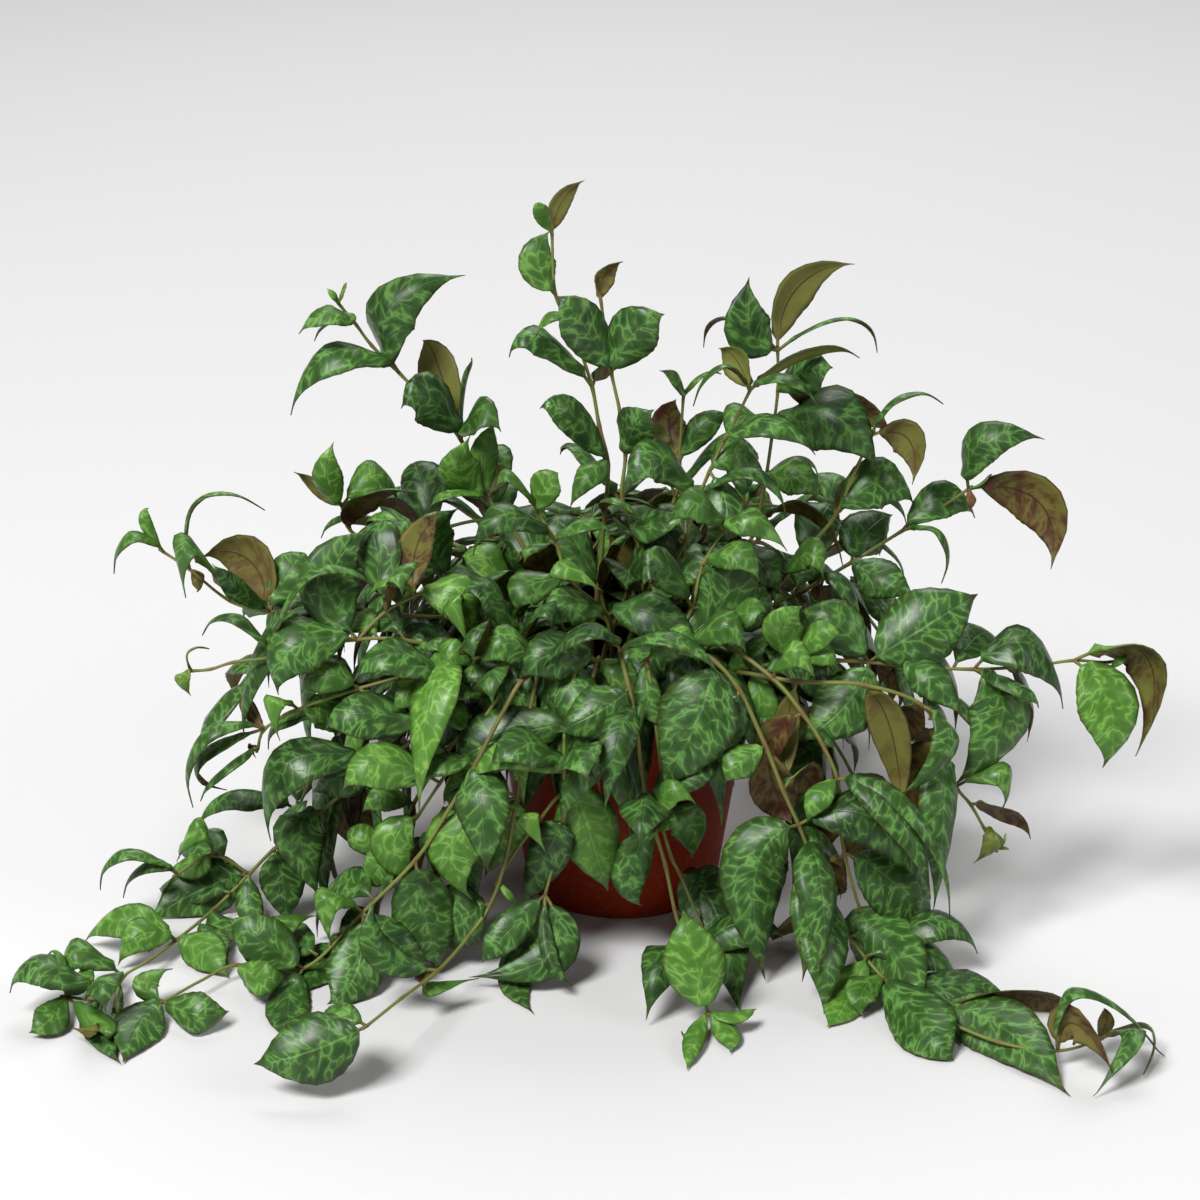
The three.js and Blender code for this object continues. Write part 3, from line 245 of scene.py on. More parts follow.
# Each stem has its name, its root in the soil (x, y), or the stem and node that it grows from, its route
# [u, v, y] and its leaves. Each leaf has the number of the route point that it grows from, the middle and
# tip of its midrib on the picture [u, v, u, v], how much further away its tip is, its width, and the turn of
# its upper face away from the viewer, in degrees
STEMS = [
    ("tall_middle", (-19, -3),
     [[-14, 160, 4], [-10, 205, 8], [-8, 234, 8], [-13, 256, 8], [-17, 278, 8], [-24, 300, 8],
      [-29, 314, 8], [-38, 331, 8], [-40, 366, 8]],
     [[8, -36, 383, -23, 399, 14, 12, 150], [8, -46, 378, -47, 385, -10, 9, 10],
      [7, -48, 350, -40, 368, 10, 25, 10], [6, -39, 321, -51, 308, -14, 12, 60],
      [4, -42, 306, -65, 297, -20, 21, 40], [4, -6, 300, 10, 306, 40, 20, 120],
      [2, -28, 262, -48, 270, -20, 21, 25], [2, -18, 230, -30, 208, -24, 16, 20],
      [1, -6, 215, 13, 203, -30, 10, 80]]),
    ("tall_middle_right", (-10, 10),
     [[3, 160, -2], [11, 180, -4], [6, 197, -4], [0, 216, -4], [2, 240, -4], [-1, 263, -4],
      [-6, 286, -4], [-9, 306, -4], [-12, 327, -4]],
     [[8, -11, 341, 0, 352, 8, 12, 150], [6, 6, 309, 24, 322, -16, 28, 0],
      [6, -22, 313, -39, 330, -12, 26, 10], [4, 6, 254, 17, 265, -30, 24, 10],
      [4, 15, 251, 27, 252, 24, 15, 140], [2, 16, 200, 38, 206, -26, 20, 30]]),
    ("upper_left", (-27, 11),
     [[-45, 165, 8], [-66, 203, 12], [-77, 215, 14], [-92, 248, 18], [-110, 268, 20],
      [-127, 286, 20], [-143, 302, 20], [-152, 314, 20], [-162, 326, 18]],
     [[8, -165, 331, -169, 335, 0, 4, 20], [8, -160, 333, -157, 339, 0, 4, 60],
      [7, -166, 322, -187, 311, -16, 20, 50], [7, -164, 317, -177, 307, 16, 10, 80],
      [5, -133, 322, -89, 343, 8, 31, 15], [5, -163, 299, -194, 263, -18, 27, 45],
      [3, -104, 288, -114, 306, 24, 24, 155], [3, -110, 272, -129, 268, -22, 34, 10],
      [3, -83, 263, -67, 254, -26, 25, 30], [3, -89, 280, -83, 292, 24, 8, 80],
      [2, -92, 229, -85, 248, -18, 24, 10], [2, -79, 236, -73, 256, -6, 16, 10],
      [2, -70, 226, -72, 236, 26, 16, 150], [2, -95, 219, -112, 211, -22, 14, 70]]),
    ("short_upright", (3, 22),
     [[14, 152, 12], [35, 165, 16], [35, 188, 16], [34, 215, 16], [33, 236, 16], [35, 272, 14]],
     [[4, 27, 256, 32, 272, 18, 23, 165], [4, 46, 256, 61, 266, 10, 16, 10],
      [5, 32, 282, 21, 288, -14, 9, 40], [5, 43, 284, 57, 288, 10, 9, 80],
      [2, 20, 200, -2, 206, -20, 20, 30]]),
    ("upper_right", (8, 6),
     [[18, 150, -14], [30, 178, -14], [36, 190, -13], [43, 213, -12], [50, 230, -12],
      [58, 247, -12], [66, 262, -11], [73, 276, -10]],
     [[7, 67, 293, 56, 303, 18, 22, 140], [7, 102, 298, 137, 299, 10, 14, 110],
      [7, 92, 285, 114, 269, -18, 14, 60], [7, 57, 291, 38, 268, -14, 10, 80],
      [5, 82, 258, 113, 240, -22, 19, 40], [3, 15, 238, -7, 218, -22, 25, 15],
      [3, 73, 231, 98, 205, -20, 14, 55], [4, 60, 207, 47, 188, -30, 27, 5],
      [4, 66, 240, 84, 229, 18, 22, 10]]),
    ("tall_right", (18, 19),
     [[42, 152, 22], [70, 186, 28], [77, 200, 28], [82, 225, 28], [86, 252, 26], [89, 276, 24],
      [89, 299, 22]],
     [[6, 72, 312, 71, 342, 6, 29, 5], [6, 99, 334, 133, 349, 18, 22, 150],
      [6, 62, 319, 39, 306, 14, 10, 85], [6, 126, 318, 148, 302, 20, 8, 85],
      [5, 104, 287, 121, 290, -24, 25, 10], [5, 128, 268, 153, 252, 18, 20, 150],
      [4, 120, 262, 152, 228, -24, 42, 10], [4, 68, 262, 58, 244, -20, 20, 15],
      [2, 105, 211, 131, 178, -10, 20, 110], [3, 98, 228, 118, 216, -14, 30, 5],
      [1, 80, 178, 92, 160, -34, 30, 5]]),
    ("right_arching", (27, 8),
     [[52, 138, 4], [78, 153, 8], [92, 168, 10], [108, 188, 10], [122, 205, 10], [134, 232, 10],
      [143, 251, 8]],
     [[6, 164, 249, 169, 222, -12, 23, 150], [6, 158, 273, 185, 272, 8, 11, 80],
      [4, 128, 221, 148, 230, 14, 12, 150], [4, 148, 224, 170, 210, 14, 36, 5],
      [2, 107, 184, 118, 168, -20, 22, 10], [2, 78, 180, 76, 200, -12, 22, 10]]),
    ("far_right", (37, 14),
     [[60, 140, 14], [102, 161, 22], [131, 178, 24], [160, 196, 24], [180, 208, 22],
      [198, 220, 20]],
     [[5, 206, 247, 243, 252, -6, 24, 20], [5, 238, 214, 251, 174, -20, 31, 150],
      [5, 206, 224, 211, 230, 6, 4, 80], [5, 200, 214, 199, 207, -10, 6, 20],
      [3, 168, 217, 196, 219, -14, 22, 15], [3, 183, 195, 186, 166, -16, 14, 80],
      [2, 147, 170, 168, 158, -28, 24, 10], [2, 140, 196, 158, 206, 34, 30, 5]]),
    ("level_right", (35, -6),
     [[50, 128, -45], [74, 119, -60], [98, 122, -65], [123, 122, -64], [141, 121, -63],
      [160, 119, -62], [201, 117, -60], [235, 119, -56], [258, 122, -52], [278, 121, -48],
      [289, 124, -46]],
     [[10, 284, 122, 278, 115, -4, 5, 20], [8, 301, 124, 299, 66, -16, 30, 125],
      [8, 279, 96, 279, 58, -24, 34, 5], [6, 232, 132, 257, 96, 6, 33, 40],
      [6, 217, 90, 188, 49, -26, 35, 10], [6, 225, 108, 241, 98, -24, 16, 60],
      [5, 176, 112, 197, 89, -22, 21, 10], [4, 128, 97, 102, 73, -26, 44, 5],
      [4, 174, 142, 207, 159, 14, 41, 5], [4, 122, 143, 100, 152, 14, 38, 5],
      [2, 92, 140, 103, 155, -8, 25, 5], [2, 109, 135, 125, 137, -14, 16, 20],
      [2, 111, 127, 121, 117, -16, 13, 20], [1, 69, 112, 68, 127, -10, 9, 10],
      [1, 82, 96, 89, 77, -16, 16, 5]]),
    ("drooping_right", (43, -18),
     [[62, 116, -62], [100, 110, -84], [138, 108, -88], [172, 96, -84], [185, 70, -80],
      [191, 50, -78], [199, 40, -76], [207, 26, -76], [213, 15, -76]],
     [[6, 220, 36, 236, 22, 8, 16, 120], [5, 214, 60, 219, 34, -14, 15, 20],
      [7, 213, 20, 201, 5, -12, 14, 10], [8, 217, 18, 219, 24, 4, 3, 60],
      [8, 217, 15, 222, 14, -2, 3, 60], [3, 186, 74, 157, 41, -24, 16, 20],
      [3, 164, 88, 163, 70, 20, 19, 165], [1, 93, 78, 93, 51, -14, 16, 165],
      [2, 152, 86, 156, 38, 10, 21, 165]]),
    ("front_right", (19, -26),
     [[38, 128, -70], [52, 122, -92], [67, 105, -98], [82, 73, -104], [92, 48, -107],
      [101, 28, -108], [112, 0, -110], [123, -26, -112], [150, -60, -130], [178, -80, -165],
      [215, -96, -190], [249, -101, -200], [272, -95, -190]],
     [[12, 292, -92, 268, -127, -24, 13, 40], [12, 277, -84, 275, -75, 6, 9, 150],
      [11, 262, -66, 315, -104, 10, 12, 70], [12, 302, -88, 299, -117, -6, 8, 100],
      [11, 263, -86, 288, -114, -20, 33, 150], [9, 215, -86, 251, -127, -20, 37, 25],
      [9, 228, -68, 270, -82, 20, 24, 130], [7, 152, -40, 179, -79, -14, 36, 5],
      [8, 170, -84, 193, -107, -26, 37, 5], [8, 138, -66, 138, -82, -24, 20, 10],
      [5, 142, 32, 175, -13, -12, 31, 15], [5, 76, 2, 80, -64, -16, 37, 5],
      [4, 104, 56, 112, 38, 20, 26, 170], [3, 86, 52, 96, 34, 14, 26, 165], [3, 67, 64, 57, 52, -16, 23, 5],
      [1, 42, 88, 18, 47, -26, 43, 5], [2, 60, 84, 52, 60, -8, 24, 5],
      [0, 58, 142, 74, 126, -12, 28, 10]]),
    ("front_right_thin", (29, -29),
     [[56, 132, -66], [86, 112, -88], [103, 92, -98], [114, 75, -100], [123, 54, -101],
      [125, 30, -102], [127, 12, -103], [136, -20, -108], [148, -46, -120]],
     [[4, 156, 36, 176, -14, -16, 23, 30], [4, 112, 44, 105, 28, -16, 15, 20],
      [6, 160, -10, 180, -46, -20, 35, 5], [6, 118, -4, 122, -16, 16, 22, 165],
      [4, 166, 38, 193, -23, -20, 14, 50], [2, 92, 76, 96, 54, 18, 18, 165],
      [1, 98, 126, 112, 110, -12, 24, 10]]),
    ("front_middle", (2, -37),
     [[-1, 126, -88], [4, 106, -102], [8, 86, -106], [11, 60, -108], [15, 40, -109],
      [19, 24, -110], [25, 4, -110], [30, -20, -113], [38, -48, -122], [49, -79, -170]],
     [[9, 42, -50, 36, -19, 18, 33, 5], [9, 65, -80, 76, -75, 4, 11, 60],
      [9, 41, -95, 38, -111, -14, 11, 10], [9, 42, -90, 33, -91, -4, 4, 50],
      [9, 60, -90, 60, -101, -12, 14, 20], [5, 26, 46, 45, 41, -14, 15, 20],
      [5, 15, 24, 10, 21, -12, 12, 10], [5, 27, 30, 33, 24, -10, 9, 20],
      [0, -17, 142, -49, 118, -16, 20, 60], [0, 27, 136, 62, 112, -18, 15, 55],
      [1, -14, 93, -41, 82, -14, 37, 5]]),
    ("front_middle_right", (11, -37),
     [[14, 122, -84], [18, 96, -96], [22, 60, -99], [22, 34, -100], [28, 10, -101],
      [33, 0, -102], [46, -30, -108]],
     [[5, 54, -34, 62, -100, -22, 35, 5], [3, 38, 28, 40, 6, 6, 24, 5],
      [3, 5, 2, 12, -21, -12, 21, 5], [0, 15, 100, 24, 82, -16, 16, 5],
      [0, 32, 134, 46, 118, -10, 26, 10]]),
    ("front_left", (-10, -35),
     [[-14, 122, -86], [-22, 88, -100], [-28, 54, -106], [-38, 43, -108], [-47, 31, -108],
      [-60, 14, -108], [-71, -4, -109]],
     [[2, -60, 71, -91, 52, -16, 21, 30], [2, -19, 22, -9, -19, -14, 34, 5],
      [2, -22, 66, -12, 72, -16, 14, 20], [4, -54, 33, -43, 11, -16, 18, 5],
      [1, -74, 76, -99, 61, -14, 33, 5], [0, -40, 126, -62, 112, -14, 28, 10],
      [0, 4, 120, 20, 106, -14, 26, 10], [6, -64, -12, -60, -16, -4, 5, 30]]),
    ("front_left_low", (-19, -37),
     [[-26, 118, -90], [-32, 90, -104], [-33, 60, -112], [-33, 31, -114], [-44, -12, -118]],
     [[4, -40, -45, -88, -57, -20, 24, 10], [4, -66, -34, -80, -53, -22, 19, 5],
      [4, -61, -62, -50, -87, -44, 19, 5], [4, -41, -46, -28, -61, -30, 9, 10],
      [3, -42, 14, -58, -16, 12, 24, 5]]),
    ("trailing_front_left", (-29, -29),
     [[-46, 120, -82], [-54, 86, -98], [-60, 44, -108], [-66, 10, -112], [-75, -17, -116],
      [-88, -36, -130], [-105, -55, -165], [-126, -71, -205], [-146, -87, -240]],
     [[8, -178, -101, -212, -112, -10, 42, 5], [8, -165, -78, -182, -80, 14, 16, 50],
      [6, -138, -44, -141, -14, 10, 17, 20], [6, -112, -64, -82, -58, 10, 12, 60],
      [4, -98, -26, -123, -40, 16, 36, 5], [2, -96, 18, -87, -18, -20, 33, 5],
      [2, -68, 22, -82, -12, 8, 22, 10], [2, -90, 52, -110, 40, 16, 28, 10],
      [0, -66, 132, -84, 118, -10, 26, 10], [1, -74, 94, -94, 80, -12, 26, 10]]),
    ("left_young", (-35, -19),
     [[-62, 112, -84], [-86, 78, -98], [-104, 52, -104], [-116, 34, -106]],
     [[3, -131, 16, -118, -10, -14, 25, 5], [3, -138, 6, -148, -8, 4, 20, 5],
      [2, -138, 63, -163, 48, -18, 27, 20], [0, -63, 116, -45, 92, -14, 42, 5],
      [1, -110, 86, -128, 72, -10, 26, 10],
      [1, -99, 93, -110, 84, 14, 24, 10]]),
    ("low_left", (-38, -10),
     [[-60, 130, -62], [-97, 106, -80], [-111, 84, -88], [-140, 62, -84], [-172, 36, -70],
      [-199, 14, -54], [-213, 0, -50], [-233, -20, -60], [-255, -38, -95], [-271, -50, -120],
      [-285, -59, -140], [-290, -75, -160]],
     [[10, -312, -44, -322, -68, -8, 21, 35], [10, -298, -80, -285, -107, -20, 23, 10],
      [8, -282, -25, -311, -38, 10, 22, 30], [8, -274, -34, -290, -53, -14, 20, 10],
      [8, -240, -44, -227, -59, -12, 24, 10], [6, -240, -8, -272, -26, 16, 34, 5],
      [6, -213, -18, -206, -37, -16, 15, 5], [5, -194, -5, -192, -29, 4, 27, 5],
      [3, -190, 64, -207, 18, -14, 30, 30], [4, -184, 22, -172, -16, -20, 40, 5],
      [1, -128, 126, -157, 110, -16, 26, 40], [2, -107, 66, -96, 58, -16, 15, 10],
      [2, -148, 92, -173, 84, -6, 27, 20],
      [3, -160, 56, -180, 46, 12, 24, 10], [11, -288, -79, -291, -83, -4, 4, 30]]),
    ("low_left_tip", ("low_left", 10),
     [[-300, -71, -150], [-318, -70, -150]],
     [[1, -326, -82, -339, -93, -14, 19, 5], [1, -298, -88, -314, -89, -30, 17, 10],
      [1, -308, -60, -303, -50, 14, 11, 20], [1, -320, -48, -329, -44, 20, 6, 60]]),
    ("low_left_upper", ("low_left", 6),
     [[-234, 11, -52], [-254, 0, -60]],
     [[1, -284, 12, -302, -9, -4, 10, 50], [1, -272, 6, -288, -12, 10, 12, 60],
      [0, -240, 26, -256, 7, -10, 20, 5], [0, -246, 4, -262, 3, 12, 14, 5]]),
    ("low_left_front", (-35, -38),
     [[-56, 112, -96], [-84, 62, -112], [-118, 8, -120], [-148, -22, -124], [-182, -54, -130],
      [-220, -52, -118], [-262, -73, -155]],
     [[6, -276, -86, -283, -107, -20, 27, 5], [6, -243, -80, -222, -80, -8, 25, 5],
      [6, -272, -62, -257, -52, 22, 18, 5], [5, -206, -60, -190, -59, -14, 36, 5],
      [4, -192, -74, -187, -101, -20, 24, 5], [4, -198, -34, -173, -22, 24, 26, 5],
      [3, -168, -14, -168, -42, -16, 29, 5], [3, -152, -56, -166, -76, -28, 32, 10],
      [3, -131, -38, -109, -54, -10, 20, 10], [2, -112, -24, -104, -52, 16, 34, 10],
      [4, -205, -38, -226, -24, 18, 28, 5]]),
    ("left_middle", (-46, -3),
     [[-58, 130, -40], [-85, 127, -52], [-127, 134, -60], [-151, 134, -62], [-176, 130, -64],
      [-200, 124, -64], [-222, 121, -62], [-235, 117, -60], [-246, 116, -60]],
     [[5, -221, 147, -243, 138, 4, 15, 70], [5, -178, 174, -132, 162, 10, 15, 75],
      [3, -187, 130, -200, 101, -18, 34, 10], [3, -168, 164, -143, 194, 4, 33, 10],
      [8, -251, 112, -246, 101, -8, 9, 10], [8, -248, 127, -235, 130, 4, 4, 80],
      [1, -98, 156, -85, 126, -22, 27, 5]]),
    ("left_short", ("left_middle", 3),
     [[-135, 150, -56], [-118, 159, -54]],
     [[1, -117, 187, -102, 207, 12, 20, 165], [1, -97, 160, -84, 128, -16, 27, 5],
      [1, -133, 168, -147, 158, -6, 9, 60]]),
    ("left_upper", (-45, 10),
     [[-60, 142, -18], [-95, 146, -26], [-127, 148, -30], [-165, 149, -34], [-201, 150, -36],
      [-224, 156, -36], [-247, 174, -34], [-262, 184, -34]],
     [[7, -281, 194, -293, 171, -4, 15, 60], [7, -272, 201, -272, 211, 6, 7, 20],
      [6, -243, 214, -202, 212, 10, 11, 85], [5, -247, 188, -252, 157, -24, 27, 40],
      [4, -213, 180, -241, 183, 14, 34, 160], [4, -221, 164, -232, 178, -18, 12, 20],
      [6, -241, 168, -242, 160, -12, 12, 150], [4, -190, 174, -180, 186, 22, 22, 10],
      [2, -128, 186, -112, 200, 20, 24, 20]]),
    ("left_back", (-38, 22),
     [[-62, 150, 16], [-98, 168, 20], [-132, 184, 22], [-155, 196, 22], [-160, 210, 20]],
     [[4, -168, 226, -163, 246, -8, 17, 5], [4, -172, 220, -187, 232, 10, 10, 150],
      [3, -150, 214, -120, 222, -14, 22, 120], [2, -140, 206, -122, 196, -18, 20, 110],
      [1, -108, 192, -92, 206, -16, 26, 20], [4, -141, 229, -116, 211, 12, 20, 20]]),
    ("left_hanging", (-54, -12),
     [[-78, 124, -66], [-112, 116, -74], [-150, 106, -72], [-185, 94, -66], [-204, 83, -62],
      [-208, 72, -60]],
     [[4, -240, 79, -250, 36, -8, 14, 55], [4, -243, 64, -228, 44, 6, 13, 60],
      [3, -199, 99, -196, 75, -12, 16, 10], [4, -213, 96, -213, 104, 8, 11, 150],
      [5, -212, 73, -209, 66, -4, 10, 160], [5, -226, 61, -244, 43, -14, 10, 60],
      [2, -172, 114, -186, 104, 8, 26, 10], [2, -142, 92, -152, 76, -14, 30, 10],
      [1, -122, 104, -134, 92, -12, 28, 10],
      [1, -98, 124, -84, 112, -8, 22, 10], [3, -168, 92, -160, 78, 14, 26, 10]]),
    ("left_hanging_back", (-56, 4),
     [[-90, 122, -40], [-124, 108, -44], [-152, 88, -42], [-173, 62, -34], [-186, 36, -18],
      [-197, 12, 6]],
     []),
    ("left_hanging_low", (-46, -26),
     [[-74, 98, -80], [-100, 70, -86], [-119, 40, -88], [-131, 8, -88], [-141, -20, -92],
      [-152, -44, -108]],
     [[3, -150, 22, -157, 26, 14, 16, 10], [5, -170, -52, -178, -70, -16, 26, 10],
      [4, -150, -32, -152, -56, 14, 24, 5], [2, -136, 44, -150, 34, -10, 16, 20]]),
    ("right_hanging", (53, -10),
     [[76, 112, -44], [99, 98, -56], [119, 78, -60], [132, 56, -60], [141, 34, -60]],
     [[4, 136, 20, 138, 2, -10, 26, 165], [2, 106, 88, 98, 66, -14, 22, 165],
      [3, 142, 50, 150, 42, 14, 24, 165]]),
    ("middle_fill", (-6, -21),
     [[-8, 148, -46], [-30, 168, -48], [-38, 190, -44], [-48, 206, -40]],
     [[3, -44, 222, -36, 231, -6, 22, 10], [3, -62, 228, -74, 219, -14, 14, 60],
      [2, -24, 201, -5, 196, -14, 16, 60], [2, -66, 206, -88, 182, -18, 20, 30],
      [1, -36, 178, -9, 162, -20, 24, 45], [1, -56, 164, -62, 148, -16, 24, 20],
      [0, 15, 150, 48, 126, -24, 26, 20], [0, -30, 154, -42, 138, -24, 26, 5]]),
    ("middle_right_fill", (24, -19),
     [[30, 132, -54], [40, 152, -52], [46, 176, -46], [58, 196, -40]],
     [[0, 56, 150, 50, 175, -24, 36, 5], [1, 22, 176, 8, 163, -20, 22, 10],
      [2, 66, 184, 80, 166, -18, 20, 20], [3, 72, 204, 96, 184, -14, 20, 30],
      [3, 44, 212, 24, 200, -12, 22, 20], [1, 76, 152, 90, 138, -16, 26, 10]]),
]

# The stems at the back: the root in the soil [x, y], the bearing in degrees, how far a stem reaches, how
# high it rises and how high it ends
BACK_STEMS = [
    ([38, 26], 22, 165, 178, 70), ([27, 32], 44, 150, 205, 165), ([27, 43], 58, 205, 170, 22),
    ([13, 35], 78, 130, 208, 172), ([5, 45], 92, 190, 190, 60), ([-6, 32], 108, 125, 192, 150),
    ([-18, 45], 124, 210, 172, 22), ([-21, 30], 142, 155, 200, 150), ([-34, 35], 160, 190, 190, 90)]

SIGHT_COS = math.cos(SIGHT_ELEVATION)
SIGHT_SIN = math.sin(SIGHT_ELEVATION)
TO_VIEWER = Vector((0, -SIGHT_COS, SIGHT_SIN))
UP = Vector((0, 0, 1))


def wall_radius(height):
    """The outer radius of the pot's wall at a height."""
    share = min(1, max(0, height) / BAND_BOTTOM)
    return BASE_RADIUS + (NECK_RADIUS - BASE_RADIUS) * share


def pot_radius(height, space):
    """The outer radius of the pot at a height, with the rim band's from a space below the band."""
    return RIM_RADIUS if height > BAND_BOTTOM - space else wall_radius(height)


def draw(first, second, third):
    """The same draw each time for the same numbers, from 0 to 1."""
    mixed = math.sin(first * 12.9898 + second * 78.233 + third * 37.719) * 43758.5453
    return mixed - math.floor(mixed)


def vary(pair, first, second, third):
    """A value that is drawn between the first number of a pair and that number with the second added."""
    least, more = pair
    return least + more * draw(first, second, third)


def beside_pot(point, space):
    """Moves a point that is too near the pot outside its wall or above its rim, whichever is nearer."""
    radius = math.hypot(point.x, point.y)
    outwards = pot_radius(point.z, space) + space - radius
    upwards = POT_HEIGHT + space - point.z
    if outwards <= 0 or upwards <= 0:
        return point
    if upwards < outwards:
        point.z += upwards
    else:
        point.x *= (radius + outwards) / radius
        point.y *= (radius + outwards) / radius
    return point


def spot(u, v, depth, lowest):
    """The real place of a point of the picture at a depth, or where its line of sight is low enough."""
    across = u - MIDDLE_U
    up = v - MIDDLE_V
    under = SIGHT_DISTANCE * SIGHT_COS + up * SIGHT_SIN
    level = up * (SIGHT_DISTANCE + AIM.z * SIGHT_SIN) + SIGHT_DISTANCE * AIM.z * SIGHT_COS
    slope = up * SIGHT_COS - SIGHT_DISTANCE * SIGHT_SIN
    height = (level + slope * depth) / under
    if height < lowest:
        height = lowest
        depth = (height * under - level) / slope
    beyond = depth * SIGHT_COS - (height - AIM.z) * SIGHT_SIN
    return Vector((AIM.x + across * (1 + beyond / SIGHT_DISTANCE), depth, height))


def root_points(root):
    """The first points of a line: in the soil, at its top, and a little further out above it."""
    x, y = root
    return [Vector((x, y, SOIL_TOP - HOLE_DEPTH + SEAT_GAP + ROOT_CLEAR)),
            Vector((x, y, SOIL_TOP + SOIL_CROWN)),
            Vector((x * COLLAR_SPREAD, y * COLLAR_SPREAD, COLLAR_HEIGHT))]


def picture_stem(name, root, route, made):
    """The owner, the nodes and the line of a stem whose route is given on the picture."""
    nodes = [beside_pot(spot(u, v, y, STEM_REST), ROUTE_SPACE) for u, v, y in route]
    for parent in made:
        if parent["name"] == root[0]:
            return parent["name"], nodes, [parent["nodes"][root[1]].copy()] + nodes
    return name, nodes, root_points(root) + nodes


def back_stem(root, bearing, reach, top, bottom):
    """The nodes and the line of a stem that rises, arches outwards on its bearing and droops to its end."""
    angle = math.radians(bearing)
    x, y = root
    nodes = []
    for number in range(1, BACK_POINTS + 1):
        share = number / BACK_POINTS
        out = reach * share ** 1.15
        wander = angle + BACK_WANDER * math.sin(share * 5 + bearing)
        climb = math.sin(min(1, share * 1.6) * math.pi / 2)
        rise = COLLAR_HEIGHT + (top - COLLAR_HEIGHT) * climb
        fall = max(0, share - BACK_TOP) / (1 - BACK_TOP)
        height = rise + (bottom - top) * fall ** 1.6
        point = Vector((x + out * math.cos(wander), y + out * math.sin(wander), max(height, BACK_LOWEST)))
        nodes.append(beside_pot(point, BACK_SPACE))
    return nodes, root_points(root) + nodes


def smooth_line(line):
    """The line of a stem with one more point on each long stretch, so that it bends smoothly."""
    points = []
    for number in range(len(line) - 1):
        start, end = line[number], line[number + 1]
        points.append(start)
        if number > 1 and (end - start).length > LONGEST_STRETCH:
            after = line[number + 2] if number + 2 < len(line) else 2 * end - start
            points.append((start + end) * (9 / 16) - (line[number - 1] + after) / 16)
    points.append(line[-1])
    points.append(line[-1] + (points[-1] - points[-2]).normalized() * STEM_END)
    return points


def make_leaf(base, middle, tip, width, face):
    """A leaf from the places of its foot, middle and tip, its width and the way its upper face looks."""
    side = (tip - base).normalized().cross(face).normalized()
    return {"base": base, "bow": 2 * middle - base / 2 - tip / 2, "tip": tip, "width": width, "side": side}


def picture_leaf(nodes, row):
    """The first place of a leaf that is given on the picture."""
    number, mid_u, mid_v, tip_u, tip_v, further, width, turn = row
    base = nodes[number]
    bulge = -BULGE if turn < 90 else BULGE
    level = abs(tip_u - mid_u) / math.hypot(tip_u - mid_u, tip_v - mid_v)
    middle = spot(mid_u, mid_v, base.y + further / 2 + bulge, LOWEST + 4 + LOW_EDGE * width * level)
    tip = spot(tip_u, tip_v, base.y + further, LOWEST + 1)
    chord = (tip - base).normalized()
    towards = (TO_VIEWER - TO_VIEWER.dot(chord) * chord).normalized()
    aside = chord.cross(towards).normalized()
    if aside.z + 0.35 * aside.x < 0:
        aside.negate()
    angle = math.radians(turn)
    return make_leaf(base, middle, tip, width / APPARENT_WIDTH,
                     towards * math.cos(angle) + aside * math.sin(angle))


def heading(across, along, outwards, parts):
    """The way that a leaf points: across its stem, and by these parts along it, outwards and up."""
    forwards, out, up = parts
    return (across + along * forwards + outwards * out + UP * up).normalized()


def arched(base, direction, length, arch, reach, droop):
    """The middle and the tip of a leaf that rises to its middle and droops to its tip."""
    middle = base + direction * (0.5 * length) + UP * (arch * length)
    return middle, base + direction * (reach * length) - UP * (droop * length)


def rule_leaf(line, nodes, index, hand, number):
    """The first place of a leaf that the rule gives: pairs that stand crosswise to the pair below."""
    base = nodes[index]
    before = nodes[index - 1] if index else line[len(line) - len(nodes) - 1]
    along = (base - before).normalized()
    level = along.cross(UP).normalized()
    across = level if index % 2 else level * 0.75 + UP * (0.65 * hand)
    outwards = Vector((base.x, base.y, 0)).normalized()
    direction = heading(across * hand, along, outwards, RULE_HEADING)
    length = RULE_LENGTH * vary(RULE_LENGTHS, number, index, hand)
    middle, tip = arched(base, direction, length, arch=0.1, reach=0.94,
                         droop=vary(RULE_DROOPS, number, index, hand + 3))
    middle.z = max(middle.z, LOWEST + 1)
    tip.z = max(tip.z, LOWEST)
    width = RULE_WIDTH * vary(RULE_WIDTHS, number, index, hand + 6)
    return make_leaf(base, middle, tip, width, (UP + outwards * 0.5).normalized())


def bend_leaf(leaf, in_depth, across_view, size):
    """The leaf turned about its foot and scaled."""
    chord = (leaf["tip"] - leaf["base"]).normalized()
    hinge = chord.cross(TO_VIEWER).normalized()
    turn = (Quaternion(TO_VIEWER, math.radians(across_view))
            @ Quaternion(hinge, math.radians(in_depth)))
    base = leaf["base"]
    tip = turn @ (leaf["tip"] - base) * size + base
    tip.z = max(tip.z, LOWEST)
    return {**leaf, "bow": turn @ (leaf["bow"] - base) * size + base, "tip": tip,
            "width": leaf["width"] * size, "side": turn @ leaf["side"]}


def settled(leaf, corners):
    """The leaf as the frame has it, bent clear of other stems, or None where the frame left it out."""
    for size in SIZES:
        for across_view in TURNS_ACROSS:
            for in_depth in TURNS_IN_DEPTH:
                bent = bend_leaf(leaf, in_depth, across_view, size)
                if corners.find(bent["tip"] * MM)[2] < SAME_PLACE * MM:
                    return bent
    return None


def lookup(places):
    """A tree in which the nearest of some places is found."""
    tree = KDTree(len(places))
    for number, place in enumerate(places):
        tree.insert(place, number)
    tree.balance()
    return tree


def walk(line, step):
    """Places along a line at equal steps, with the way that the line goes there."""
    left = step
    for start, end in zip(line, line[1:]):
        length = (end - start).length
        while left < length:
            yield start.lerp(end, left / length), (end - start).normalized()
            left += step
        left -= length


